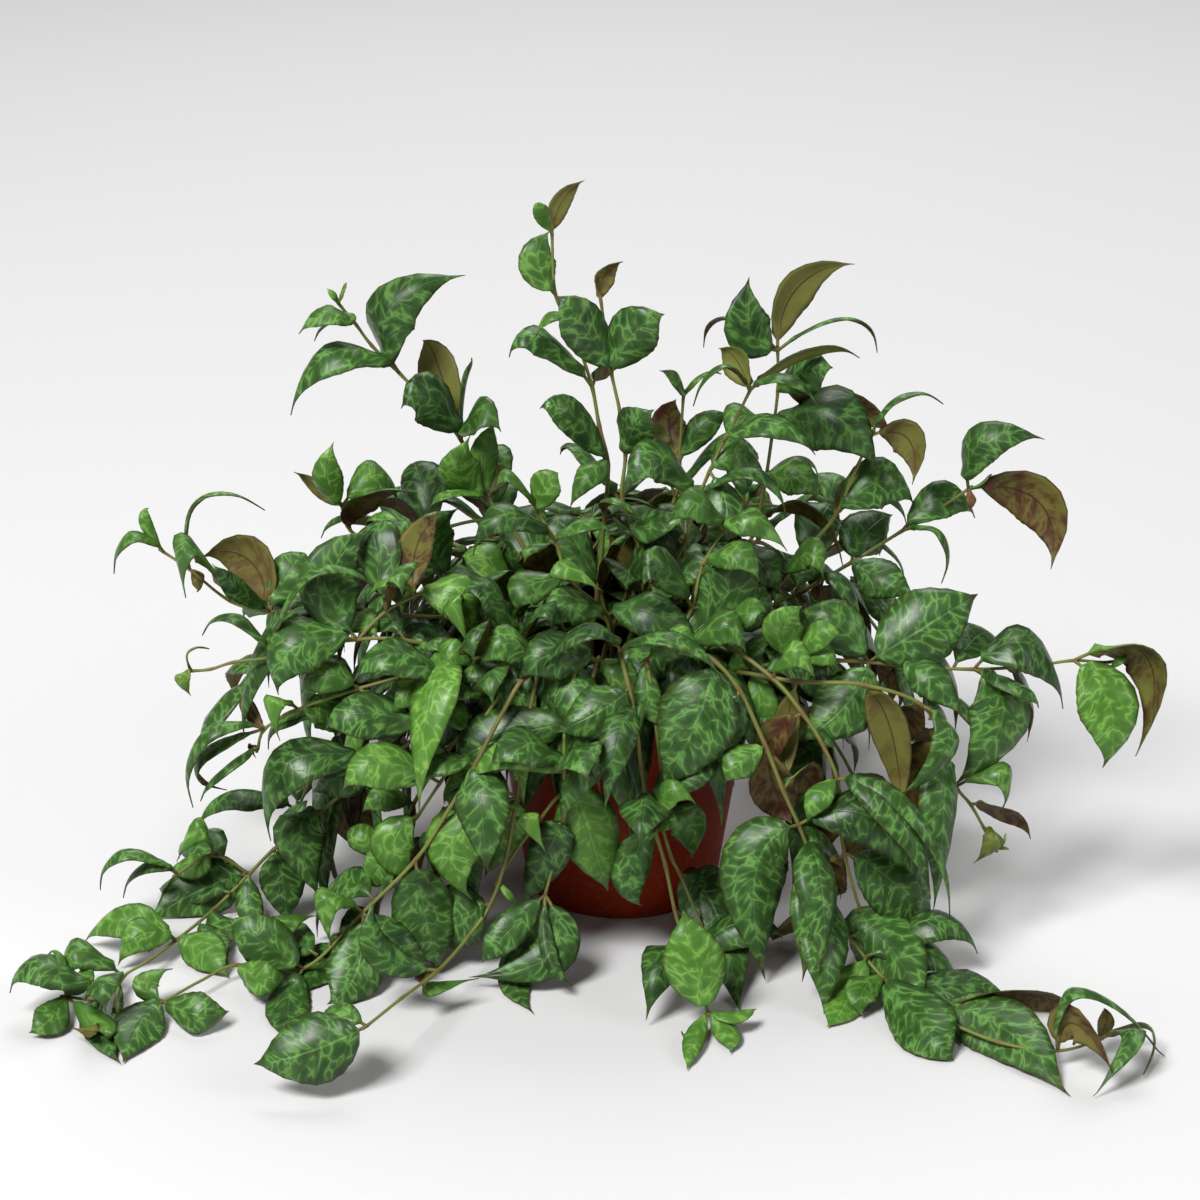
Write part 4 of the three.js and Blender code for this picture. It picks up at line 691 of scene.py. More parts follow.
def seen_from_front(point):
    """Where a point is seen on a plane through the aim, and how near to the viewer it is."""
    eye = AIM + TO_VIEWER * SIGHT_DISTANCE
    sight = point - eye
    depth = -sight.dot(TO_VIEWER)
    return sight * (SIGHT_DISTANCE / depth) + eye, depth


def hides(leaf, shown):
    """Tells whether a leaf would stand in front of one of the leaves that the picture shows."""
    for share in HIDING_SHARES:
        place, depth = seen_from_front(leaf["base"].lerp(leaf["tip"], share))
        if any(depth < other_depth + BEHIND and (place - other).length < reach
               for other, other_depth, reach in shown):
            return True
    return False


def cuts_pot(leaf):
    """Tells whether a leaf would cut into the pot's wall or rim, or into the soil."""
    for share in CUTTING_SHARES:
        rest = 1 - share
        middle = leaf["base"] * rest ** 2 + leaf["bow"] * (2 * share * rest) + leaf["tip"] * share ** 2
        for reach in (-0.5, 0, 0.5):
            place = middle + leaf["side"] * (reach * leaf["width"])
            limit = pot_radius(place.z, POT_CLEAR) + POT_CLEAR
            if place.z < POT_HEIGHT + POT_CLEAR and math.hypot(place.x, place.y) < limit:
                return True
    return False


def left_open(base):
    """Tells whether a place is over the soil or in front of the pot, where no filling leaf stands."""
    in_front = base.y < -FRONT_DEPTH and abs(base.x) < FRONT_HALF and base.z < FRONT_TOP
    return in_front or math.hypot(base.x, base.y) < FILL_INNER


def filling_leaves(stem, number, shown):
    """The smaller leaves on the inner part of a stem, crosswise in pairs, behind those that are shown."""
    line = smooth_line(stem["line"])
    total = sum((end - start).length for start, end in zip(line, line[1:]))
    made = []
    for place, (base, along) in enumerate(walk(line, FILL_STEP)):
        share = (place + 1) * FILL_STEP / total
        if stem["rows"] is not None and (share > FILL_SHARE or base.z > FILL_TOP or base.z < FILL_LOW):
            continue
        if left_open(base) or min((leaf["base"] - base).length for leaf in stem["leaves"]) < FILL_CLEAR:
            continue
        if base.z > FILL_THIN and draw(number, place, 21) < FILL_SKIPPED:
            continue
        for hand in (-1, 1):
            for change in range(FILL_TRIES):
                leaf = filling_leaf(base, along, share, place * FILL_TRIES + change, hand, number)
                if not hides(leaf, shown) and not cuts_pot(leaf):
                    made.append(leaf)
                    break
    return made


def filling_leaf(base, along, share, place, hand, number):
    """One of the smaller leaves, turned round its stem by a draw of its own."""
    outwards = Vector((base.x, base.y, 0)).normalized()
    roll = Quaternion(along, math.radians(vary(FILL_ROLLS, number, place, hand + 14)) * hand)
    across = roll @ along.cross(UP).normalized() * hand
    direction = heading(across, along, outwards, FILL_HEADING)
    length = FILL_LENGTH * vary(FILL_LENGTHS, number, place, hand + 11) * (1 - 0.35 * share ** 3)
    middle, tip = arched(base, direction, length, arch=0.08, reach=0.9,
                         droop=vary(FILL_DROOPS, number, place, hand + 12))
    middle, tip = beside_pot(middle, FILL_SPACE_MIDDLE), beside_pot(tip, FILL_SPACE_TIP)
    middle.z = max(middle.z, LOWEST + 3)
    tip.z = max(tip.z, LOWEST + 1)
    width = length * vary(FILL_WIDTHS, number, place, hand + 13)
    leaf = make_leaf(base, middle, tip, width, (UP + outwards * 0.6).normalized())
    return {**leaf, "kind": "small"}


def planned(name, owner, nodes, line, rows):
    """What is kept of a stem: owner is the stem that it is fused to, or itself. Back stems have no rows."""
    return {"name": name, "owner": owner, "nodes": nodes, "line": line, "rows": rows, "leaves": []}


def first_leaves(stem, number):
    """The leaves of a stem at their first places: those of its rows, and pairs by rule at other nodes."""
    rows = stem["rows"] or []
    young = YOUNG_NODES.get(stem["name"], ())
    leaves = [{**picture_leaf(stem["nodes"], row), "young": YOUTH if row[0] in young else 0} for row in rows]
    given = {row[0] for row in rows}
    last = stem["nodes"][0]
    for place, node in enumerate(stem["nodes"]):
        if place in given:
            last = node
        elif (place == 0 or (node - last).length >= PAIR_SPACING) and (
                stem["rows"] is None or node.z <= RULE_TOP):
            last = node
            leaves += [rule_leaf(stem["line"], stem["nodes"], place, hand, number) for hand in (-1, 1)]
    return leaves


def plan_stems():
    """Every stem with its line, its nodes and its leaves, as the frame has them."""
    made = []
    for name, root, route, rows in STEMS:
        made.append(planned(name, *picture_stem(name, root, route, made), rows))
    for number, stem in enumerate(BACK_STEMS, 1):
        name = f"back_{number}"
        made.append(planned(name, name, *back_stem(*stem), None))
    for number, stem in enumerate(made):
        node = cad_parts["leafy_stem_" + stem["owner"]]
        corners = lookup([vertex.co for vertex in node.data.vertices])
        leaves = [settled(leaf, corners) for leaf in first_leaves(stem, number)]
        stem["leaves"] = [leaf for leaf in leaves if leaf]
    shown = []
    for stem in made:
        for leaf in stem["leaves"] if stem["rows"] is not None else []:
            for share in SHOWN_SHARES:
                place, depth = seen_from_front(leaf["base"].lerp(leaf["tip"], share))
                shown.append((place, depth, SHOWN_REACH * leaf["width"]))
    for number, stem in enumerate(made):
        stem["leaves"] += filling_leaves(stem, number, shown)
    return made


# Small tools for modelling

def deselect_all():
    """Leaves edit mode and selects nothing."""
    if bpy.context.mode != "OBJECT":
        bpy.ops.object.mode_set(mode="OBJECT")
    bpy.ops.object.select_all(action="DESELECT")


def choose(*objects):
    """Selects these objects and makes the first one active."""
    deselect_all()
    for one in objects:
        one.select_set(True)
    bpy.context.view_layer.objects.active = objects[0]


def edit_whole(piece):
    """Opens a piece in edit mode with all of it selected."""
    choose(piece)
    bpy.ops.object.mode_set(mode="EDIT")
    bpy.ops.mesh.select_all(action="SELECT")


def apply_modifier(piece, kind, **values):
    """Adds a modifier with its settings and applies it."""
    choose(piece)
    modifier = piece.modifiers.new(kind.title(), kind)
    for name, value in values.items():
        setattr(modifier, name, value)
    bpy.ops.object.modifier_apply(modifier=modifier.name)


def turned_ring(name, profile, sides):
    """A round piece: a ring of points that is extruded through a profile of (radius, height)."""
    deselect_all()
    radius, height = profile[0]
    bpy.ops.mesh.primitive_circle_add(vertices=sides, radius=radius * MM, location=(0, 0, height * MM))
    piece = bpy.context.object
    piece.name = name
    piece.data.name = name
    bpy.ops.object.transform_apply(location=True, rotation=True, scale=True)
    edit_whole(piece)
    for next_radius, next_height in profile[1:]:
        bpy.ops.mesh.extrude_region_move(
            TRANSFORM_OT_translate={"value": (0, 0, (next_height - height) * MM)})
        size = next_radius / radius
        bpy.ops.transform.resize(value=(size, size, 1), center_override=(0, 0, next_height * MM))
        radius, height = next_radius, next_height
    bpy.ops.object.mode_set(mode="OBJECT")
    return piece


def cap_open_rings(piece):
    """Closes both ends of a turned piece with a flat face."""
    choose(piece)
    bpy.ops.object.mode_set(mode="EDIT")
    bpy.ops.mesh.select_all(action="DESELECT")
    bpy.ops.mesh.select_non_manifold(extend=False, use_wire=False, use_boundary=True, use_multi_face=False,
                                     use_non_contiguous=False, use_verts=False)
    bpy.ops.mesh.edge_face_add()
    bpy.ops.mesh.select_all(action="SELECT")
    bpy.ops.mesh.normals_make_consistent(inside=False)
    bpy.ops.object.mode_set(mode="OBJECT")


def finish_piece(piece, slot, material, *nodes):
    """Gives a piece its one material and its place in the frame."""
    piece.data.materials.clear()
    piece.data.materials.append(material)
    hand_over(piece, slot, *nodes)


def hand_over(piece, slot, *nodes):
    """Hides the frame's nodes that a piece replaces and hangs the piece on the root body; the slot is not
    used.
    """
    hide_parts(*nodes)
    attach(piece, "root")


# Materials

def feed(tree, socket, value):
    """Sets a socket to a value, or links it to another socket."""
    if isinstance(value, bpy.types.NodeSocket):
        tree.links.new(value, socket)
    else:
        socket.default_value = value


def add_node(tree, kind, values=None, **attributes):
    """A shader node with its settings and the values or links of its inputs."""
    made = tree.nodes.new(kind)
    for name, value in attributes.items():
        setattr(made, name, value)
    for name, value in (values or {}).items():
        feed(tree, made.inputs[name], value)
    return made


def calculate(tree, operation, first, second=0.0, third=0.0, clamp=False):
    """The result of a sum on links or numbers."""
    return add_node(tree, "ShaderNodeMath", {0: first, 1: second, 2: third}, operation=operation,
                    use_clamp=clamp).outputs[0]


def calculate_vector(tree, operation, values):
    """The result of a sum on vectors."""
    return add_node(tree, "ShaderNodeVectorMath", values, operation=operation).outputs[0]


def times(tree, first, second):
    """The product of two links or numbers."""
    return calculate(tree, "MULTIPLY", first, second)


def spread(tree, value, low, high, start=0.0, end=1.0):
    """A smooth step from start to end as a value goes from low to high."""
    values = {"Value": value, "From Min": low, "From Max": high, "To Min": start, "To Max": end}
    return add_node(tree, "ShaderNodeMapRange", values, interpolation_type="SMOOTHSTEP").outputs["Result"]


def blend_colours(tree, factor, first, second):
    """A colour between two others, each a link or three numbers."""
    ends = [colour if isinstance(colour, bpy.types.NodeSocket) else (*colour, 1.0)
            for colour in (first, second)]
    return add_node(tree, "ShaderNodeMix", {0: factor, 6: ends[0], 7: ends[1]}, data_type="RGBA").outputs[2]


def split_vector(tree, vector):
    """The parts X, Y and Z of a vector."""
    return add_node(tree, "ShaderNodeSeparateXYZ", {0: vector}).outputs


def join_vector(tree, x, y, z):
    """A vector from its parts."""
    return add_node(tree, "ShaderNodeCombineXYZ", {"X": x, "Y": y, "Z": z}).outputs[0]


def noise_texture(tree, where, scale, detail):
    """The outputs of a noise texture that is read at a place."""
    values = {"Vector": where, "Scale": scale, "Detail": detail}
    return add_node(tree, "ShaderNodeTexNoise", values).outputs


def point_value(tree, name):
    """A value that each point of a mesh carries."""
    return add_node(tree, "ShaderNodeAttribute", attribute_name=name).outputs["Fac"]


def new_group(name, inputs, outputs):
    """An empty node group with named sockets, and its two ends."""
    group = bpy.data.node_groups.new(name, "ShaderNodeTree")
    for socket, kind, value in inputs:
        made = group.interface.new_socket(socket, in_out="INPUT", socket_type=kind)
        if value is not None:
            made.default_value = value
    for socket, kind in outputs:
        group.interface.new_socket(socket, in_out="OUTPUT", socket_type=kind)
    return group, group.nodes.new("NodeGroupInput").outputs, group.nodes.new("NodeGroupOutput").inputs


def leaf_network_group():
    """The pale network on a leaf: rounded cells between veins that run outwards and forwards."""
    group, given, out = new_group(
        "Leaf network",
        [("Pattern", "NodeSocketVector", None), ("Cells", "NodeSocketFloat", 1.0),
         ("Line Width", "NodeSocketFloat", 0.1), ("Slant", "NodeSocketFloat", 0.5)],
        [("Lines", "NodeSocketFloat"), ("Clouds", "NodeSocketFloat")])
    parts = split_vector(group, given["Pattern"])
    away = calculate(group, "ABSOLUTE", parts["X"])
    along = calculate(group, "SUBTRACT", parts["Y"], times(group, away, given["Slant"]))
    flat = join_vector(group, times(group, parts["X"], 0.8), along, parts["Z"])
    stir = noise_texture(group, flat, 1.1, 1.5)["Color"]
    shift = calculate_vector(group, "SUBTRACT", {0: stir, 1: (0.5, 0.5, 0.5)})
    swing = calculate_vector(group, "SCALE", {0: shift, "Scale": 0.95})
    place = calculate_vector(group, "ADD", {0: flat, 1: swing})
    cells = add_node(group, "ShaderNodeTexVoronoi", {"Vector": place, "Scale": given["Cells"]},
                     feature="DISTANCE_TO_EDGE").outputs["Distance"]
    lines = spread(group, cells, 0.0, given["Line Width"], 0.52, 0.0)
    glow = spread(group, cells, 0.0, times(group, given["Line Width"], 3.6), 0.32, 0.0)
    strength = spread(group, noise_texture(group, flat, 1.6, 1.0)["Fac"], 0.34, 0.6, 0.12, 1.0)
    group.links.new(times(group, calculate(group, "ADD", lines, glow), strength), out["Lines"])
    group.links.new(noise_texture(group, flat, 0.6, 3.0)["Fac"], out["Clouds"])
    return group


def leaf_outline_group():
    """Masks of a leaf's edge, midrib and tip, from where a point is on the leaf."""
    group, given, out = new_group(
        "Leaf outline", [("Place", "NodeSocketVector", None)],
        [("Edge", "NodeSocketFloat"), ("Midrib", "NodeSocketFloat"), ("Tip", "NodeSocketFloat")])
    parts = split_vector(group, given["Place"])
    doubled = calculate(group, "MULTIPLY_ADD", parts["X"], 2.0, -1.0)
    away = calculate(group, "ABSOLUTE", doubled)
    group.links.new(spread(group, away, 0.9, 0.99), out["Edge"])
    group.links.new(spread(group, away, 0.01, 0.07, 1.0, 0.0), out["Midrib"])
    group.links.new(spread(group, parts["Y"], 0.86, 0.99), out["Tip"])
    return group


def fine_grain_group():
    """Fine unevenness at a chosen scale, for bumps and small changes of colour."""
    group, given, out = new_group(
        "Fine grain", [("Scale", "NodeSocketFloat", 400.0), ("Detail", "NodeSocketFloat", 4.0)],
        [("Grain", "NodeSocketFloat"), ("Blotches", "NodeSocketFloat")])
    where = add_node(group, "ShaderNodeTexCoord").outputs["Object"]
    group.links.new(noise_texture(group, where, given["Scale"], given["Detail"])["Fac"], out["Grain"])
    slow = times(group, given["Scale"], 0.06)
    group.links.new(noise_texture(group, where, slow, 3.0)["Fac"], out["Blotches"])
    return group


GROUPS = {}


def group_node(tree, name, values=None):
    """Places a shared node group, which is built the first time that it is asked for."""
    if name not in GROUPS:
        GROUPS[name] = {"network": leaf_network_group, "outline": leaf_outline_group,
                        "grain": fine_grain_group}[name]()
    return add_node(tree, "ShaderNodeGroup", values, node_tree=GROUPS[name]).outputs


def new_material(name, **plain):
    """A material with a Principled shader, whose plain sockets are set here."""
    material = bpy.data.materials.new(name)
    material.use_nodes = True
    tree = material.node_tree
    shader = tree.nodes["Principled BSDF"]
    for socket, value in plain.items():
        shader.inputs[socket.replace("_", " ")].default_value = value
    return material, tree, shader


def set_surface(tree, shader, colour, height, strength, distance):
    """Gives a shader its colour and a bump, whose distance is in metres."""
    bump = add_node(tree, "ShaderNodeBump", {"Height": height, "Strength": strength, "Distance": distance})
    tree.links.new(bump.outputs["Normal"], shader.inputs["Normal"])
    tree.links.new(colour, shader.inputs["Base Color"])


def leaf_values(tree):
    """What both faces of a leaf read: the pattern, the place on the leaf, its tone and its youth."""
    pattern, place = (add_node(tree, "ShaderNodeUVMap", uv_map=name).outputs["UV"]
                      for name in ("pattern", "place"))
    tone = point_value(tree, "tone")
    parts = split_vector(tree, pattern)
    joined = join_vector(tree, parts["X"], parts["Y"], times(tree, tone, LAYERS))
    return joined, place, tone, point_value(tree, "young")


def leaf_top_material(look):
    """Dark green with a pale network, brown at the edge and tip, and bronze on the smallest leaves."""
    material, tree, shader = new_material("Mottled leaf", Roughness=0.4, Specular_IOR_Level=0.22,
                                          Coat_Weight=0.13, Coat_Roughness=0.26)
    pattern, place, tone, young = leaf_values(tree)
    network = group_node(tree, "network", {"Pattern": pattern, "Cells": look.cells,
                                           "Line Width": look.line_width, "Slant": VEIN_SLANT})
    outline = group_node(tree, "outline", {"Place": place})
    grain = group_node(tree, "grain", {"Scale": LEAF_GRAIN})
    dark = blend_colours(tree, spread(tree, tone, 0.25, 1.0), look.dark, look.middle)
    dark = blend_colours(tree, spread(tree, network["Clouds"], 0.35, 0.7), dark, look.middle)
    pale = blend_colours(tree, young, look.veins, look.young_veins)
    lines = times(tree, network["Lines"], spread(tree, tone, 0.0, 0.8, 0.45, 1.0))
    colour = blend_colours(tree, lines, blend_colours(tree, young, dark, look.young), pale)
    colour = blend_colours(tree, times(tree, outline["Midrib"], 0.15), colour, pale)
    colour = blend_colours(tree, times(tree, outline["Edge"], 0.5), colour, look.edge)
    tip = times(tree, outline["Tip"], spread(tree, tone, 0.3, 0.9, 0.1, 0.85))
    colour = blend_colours(tree, tip, colour, look.edge)
    colour = blend_colours(tree, spread(tree, point_value(tree, "knot"), 0.3, 1.0), colour, look.bronze)
    tree.links.new(spread(tree, grain["Blotches"], 0.3, 0.7, 0.3, 0.5), shader.inputs["Roughness"])
    relief = calculate(tree, "SUBTRACT", times(tree, network["Lines"], -0.35), outline["Midrib"])
    relief = calculate(tree, "MULTIPLY_ADD", grain["Grain"], 0.25, relief)
    set_surface(tree, shader, colour, relief, 0.6, 0.0005)
    return material


def leaf_under_material(look):
    """Olive with maroon patches, and a brown midrib and edge."""
    material, tree, shader = new_material("Leaf underside", Roughness=0.5, Specular_IOR_Level=0.25)
    pattern, place, tone, young = leaf_values(tree)
    network = group_node(tree, "network", {"Pattern": pattern, "Cells": look.cells * 1.3,
                                           "Line Width": 0.26, "Slant": VEIN_SLANT})
    outline = group_node(tree, "outline", {"Place": place})
    grain = group_node(tree, "grain", {"Scale": LEAF_GRAIN})
    olive = blend_colours(tree, tone, look.olive, look.olive_brown)
    olive = blend_colours(tree, times(tree, young, 0.2), olive, look.young)
    cells = calculate(tree, "SUBTRACT", 1.0, network["Lines"], clamp=True)
    patches = times(tree, cells, spread(tree, network["Clouds"], 0.34, 0.5))
    patches = times(tree, patches, spread(tree, tone, 0.2, 0.55, 0.12, 1.0))
    colour = blend_colours(tree, patches, olive, look.maroon)
    colour = blend_colours(tree, times(tree, outline["Midrib"], 0.8), colour, look.edge)
    colour = blend_colours(tree, times(tree, outline["Edge"], 0.7), colour, look.edge)
    relief = calculate(tree, "MULTIPLY_ADD", grain["Grain"], 0.3, outline["Midrib"])
    set_surface(tree, shader, colour, relief, 0.6, 0.0005)
    return material


def stem_material(look):
    """Green and olive, tan where it is old and brown at its nodes."""
    material, tree, shader = new_material("Green and tan stem", Roughness=0.5, Specular_IOR_Level=0.3)
    grain = group_node(tree, "grain", {"Scale": 700.0})
    colour = blend_colours(tree, spread(tree, grain["Blotches"], 0.35, 0.65), look.green, look.olive)
    colour = blend_colours(tree, point_value(tree, "tone"), colour, look.tan)
    colour = blend_colours(tree, times(tree, point_value(tree, "knot"), 0.6), colour, look.knot)
    set_surface(tree, shader, colour, grain["Grain"], 0.5, 0.0004)
    return material


def pot_material(look):
    """Brick red plastic, faded in places, with a little dust."""
    material, tree, shader = new_material("Brick red plastic", Roughness=0.62, Specular_IOR_Level=0.12)
    grain = group_node(tree, "grain", {"Scale": 1500.0, "Detail": 5.0})
    dust = group_node(tree, "grain", {"Scale": 260.0, "Detail": 6.0})
    colour = blend_colours(tree, spread(tree, dust["Blotches"], 0.3, 0.7), look.wall, look.worn)
    dusty = times(tree, spread(tree, dust["Grain"], 0.5, 0.75), 0.16)
    colour = blend_colours(tree, dusty, colour, look.dust)
    tree.links.new(spread(tree, dust["Grain"], 0.3, 0.7, 0.42, 0.62), shader.inputs["Roughness"])
    set_surface(tree, shader, colour, grain["Grain"], 0.35, 0.0002)
    return material


def soil_material(look):
    """Dark and damp, lighter on its lumps, with pale fibres."""
    material, tree, shader = new_material("Damp potting soil", Roughness=0.95, Specular_IOR_Level=0.2)
    grain = group_node(tree, "grain", {"Scale": 900.0, "Detail": 6.0})
    colour = blend_colours(tree, spread(tree, grain["Grain"], 0.35, 0.65), look.dark, look.light)
    fibre = times(tree, spread(tree, grain["Blotches"], 0.6, 0.75), 0.5)
    colour = blend_colours(tree, fibre, colour, look.fibre)
    set_surface(tree, shader, colour, grain["Grain"], 0.9, 0.0012)
    return material


def floor_material(look):
    """Pale and even, with faint blotches."""
    material, tree, shader = new_material("Pale floor", Roughness=0.85, Specular_IOR_Level=0.2)
    grain = group_node(tree, "grain", {"Scale": 30.0})
    light = tuple(min(1.0, channel * 1.02) for channel in look.floor)
    tree.links.new(blend_colours(tree, grain["Blotches"], look.floor, light), shader.inputs["Base Color"])
    return material


# Sizes and colours that a user would change

def colour_property(label, text, value):
    """A colour that a user can change."""
    return FloatVectorProperty(name=label, description=text, default=value, subtype="COLOR", size=3, min=0,
                               max=1)


def length_property(label, text, millimetres, low=0.0002):
    """A length that a user can change, in metres with a default in millimetres."""
    return FloatProperty(name=label, description=text, default=millimetres * MM, min=low, unit="LENGTH")


class PotSettings(bpy.types.PropertyGroup):
    sides: IntProperty(name="Sides", description="Faces round the pot", default=POT_SIDES, min=24, max=256)
    foot: length_property("Foot", "Height of the recess under the base", 1.2, low=0)
    wall: colour_property("Wall", "Main colour of the plastic", (0.220, 0.018, 0.003))
    worn: colour_property("Worn", "Colour where the plastic is faded", (0.290, 0.028, 0.005))
    dust: colour_property("Dust", "Colour of the dust on the wall", (0.30, 0.20, 0.14))


class SoilSettings(bpy.types.PropertyGroup):
    lumps: length_property("Lumps", "Height of the lumps on the soil", 2.6, low=0)
    crumbs: IntProperty(name="Crumbs", description="Number of loose crumbs", default=260, min=0, max=1000)
    dark: colour_property("Damp", "Colour of damp soil", (0.018, 0.011, 0.007))
    light: colour_property("Dry", "Colour of drier soil", (0.055, 0.034, 0.020))
    fibre: colour_property("Fibre", "Colour of fibres in the soil", (0.16, 0.10, 0.055))


class StemSettings(bpy.types.PropertyGroup):
    base_radius: length_property("Base Radius", "Radius of a stem at the soil", 1.6)
    tip_radius: length_property("Tip Radius", "Radius of a stem at its tip", 0.8)
    sides: IntProperty(name="Steps Round", description="Steps in each quarter of the stem's section",
                       default=2, min=1, max=6)
    green: colour_property("Green", "Colour of young stem", (0.180, 0.235, 0.048))
    olive: colour_property("Olive", "Colour of older stem", (0.175, 0.180, 0.045))
    tan: colour_property("Tan", "Colour of the oldest stem", (0.150, 0.120, 0.045))
    knot: colour_property("Node", "Colour of the nodes", (0.160, 0.060, 0.028))


class LeafSettings(bpy.types.PropertyGroup):
    rows: IntProperty(name="Rows", description="Faces along a leaf", default=20, min=6, max=48)
    columns: IntProperty(name="Columns", description="Faces across a leaf", default=8, min=4, max=24)
    thickness: length_property("Thickness", "Thickness of a leaf at its middle", 0.9)
    cells: FloatProperty(name="Cells", description="Cells of the pale network in a centimetre", default=1.7,
                         min=0.2, max=5)
    line_width: FloatProperty(name="Line Width", description="Width of the pale lines", default=0.13,
                              min=0.01, max=0.5)
    dark: colour_property("Dark Green", "Colour of an old leaf", (0.009, 0.026, 0.007))
    middle: colour_property("Middle Green", "Colour of a fresher leaf", (0.027, 0.073, 0.013))
    veins: colour_property("Network", "Colour of the pale network", (0.140, 0.320, 0.070))
    young: colour_property("Young", "Colour of a young leaf", (0.090, 0.250, 0.028))
    young_veins: colour_property("Young Network", "Colour of a young leaf's network", (0.290, 0.530, 0.090))
    edge: colour_property("Edge", "Colour of the edge and the tip", (0.060, 0.028, 0.012))
    bronze: colour_property("Bronze", "Colour of the smallest leaves of some shoots", (0.130, 0.060, 0.020))
    olive: colour_property("Underside", "Colour of the underside", (0.145, 0.160, 0.032))
    olive_brown: colour_property("Brown Underside", "Colour of a brown underside", (0.155, 0.110, 0.028))
    maroon: colour_property("Patches", "Colour of the underside's patches", (0.065, 0.014, 0.010))


class StageSettings(bpy.types.PropertyGroup):
    floor: colour_property("Floor", "Colour of the floor", (0.66, 0.66, 0.66))
    floor_size: FloatProperty(name="Floor Size", description="Width of the floor", default=14, min=1,
                              unit="LENGTH")
    key_power: FloatProperty(name="Key Light", description="Power of the main light", default=235, min=0,
                             unit="POWER")
    fill_power: FloatProperty(name="Fill Light", description="Power of the fill light", default=14, min=0,
                              unit="POWER")
    sky: FloatProperty(name="Sky", description="Strength of the light from all round", default=0.12, min=0)


SETTINGS = {"potted_pot": PotSettings, "potted_soil": SoilSettings, "potted_stems": StemSettings,
            "potted_leaves": LeafSettings, "potted_stage": StageSettings}


# The pot and the soil

class PLANT_OT_pot(bpy.types.Operator):
    """Builds the tapered pot with its rim band, rolled lip, recessed base and holes for water"""
    bl_idname = "plant.pot"
    bl_label = "Pot"

    def execute(self, context):
        look = context.scene.potted_pot
        foot = look.foot / MM
        half = BAND_BOTTOM * 0.5
        base = [
            (BASE_RADIUS - 9, foot), (BASE_RADIUS - 6, foot), (BASE_RADIUS - 5.2, 0.2),
            (BASE_RADIUS - 4.6, 0), (BASE_RADIUS - 1.6, 0), (BASE_RADIUS - 0.5, 0.5), (BASE_RADIUS, 1.5)]
        wall = [
            (wall_radius(half), half), (NECK_RADIUS - 0.1, BAND_BOTTOM - 2.4),
            (NECK_RADIUS + 0.4, BAND_BOTTOM - 1.5)]
        band = [
            (RIM_RADIUS - 1.4, BAND_BOTTOM - 0.9), (RIM_RADIUS - 0.6, BAND_BOTTOM - 0.2),
            (RIM_RADIUS - 0.5, BAND_BOTTOM + 0.8), (RIM_RADIUS - 0.5, POT_HEIGHT - 4.2)]
        lip = [
            (RIM_RADIUS - 0.1, POT_HEIGHT - 3.6), (RIM_RADIUS, POT_HEIGHT - 2.6),
            (RIM_RADIUS, POT_HEIGHT - 1.2), (RIM_RADIUS - 0.4, POT_HEIGHT - 0.3),
            (RIM_RADIUS - 1.0, POT_HEIGHT), (RIM_RADIUS - 1.6, POT_HEIGHT - 0.2),
            (RIM_RADIUS - 1.9, POT_HEIGHT - 1)]
        inside = [
            (RIM_RADIUS - 2.0, BAND_BOTTOM + 3), (NECK_RADIUS - WALL, BAND_BOTTOM - 1),
            (BASE_RADIUS - WALL, BASE_THICKNESS + 1), (BASE_RADIUS - WALL - 1, BASE_THICKNESS)]
        profile = base + wall + band + lip + inside
        pot = turned_ring("grower_pot", profile, look.sides)
        cap_open_rings(pot)
        for number in range(DRAIN_HOLES):
            angle = (number + 0.5) / DRAIN_HOLES * 2 * math.pi
            place = (DRAIN_CIRCLE * math.cos(angle) * MM, DRAIN_CIRCLE * math.sin(angle) * MM, 0)
            deselect_all()
            bpy.ops.mesh.primitive_cylinder_add(vertices=DRAIN_SIDES, radius=DRAIN_RADIUS * MM,
                                                depth=4 * BASE_THICKNESS * MM, location=place)
            cutter = bpy.context.object
            apply_modifier(pot, "BOOLEAN", operation="DIFFERENCE", solver="EXACT", object=cutter)
            bpy.data.objects.remove(cutter)
        choose(pot)
        bpy.ops.object.shade_smooth_by_angle(angle=SMOOTH_ANGLE)
        finish_piece(pot, "pot", pot_material(look), "pot")
        return {"FINISHED"}


def soil_height(radius, edge):
    """The height of the crowned soil at a radius."""
    return SOIL_TOP + SOIL_CROWN * (1 - (radius / edge) ** 2)


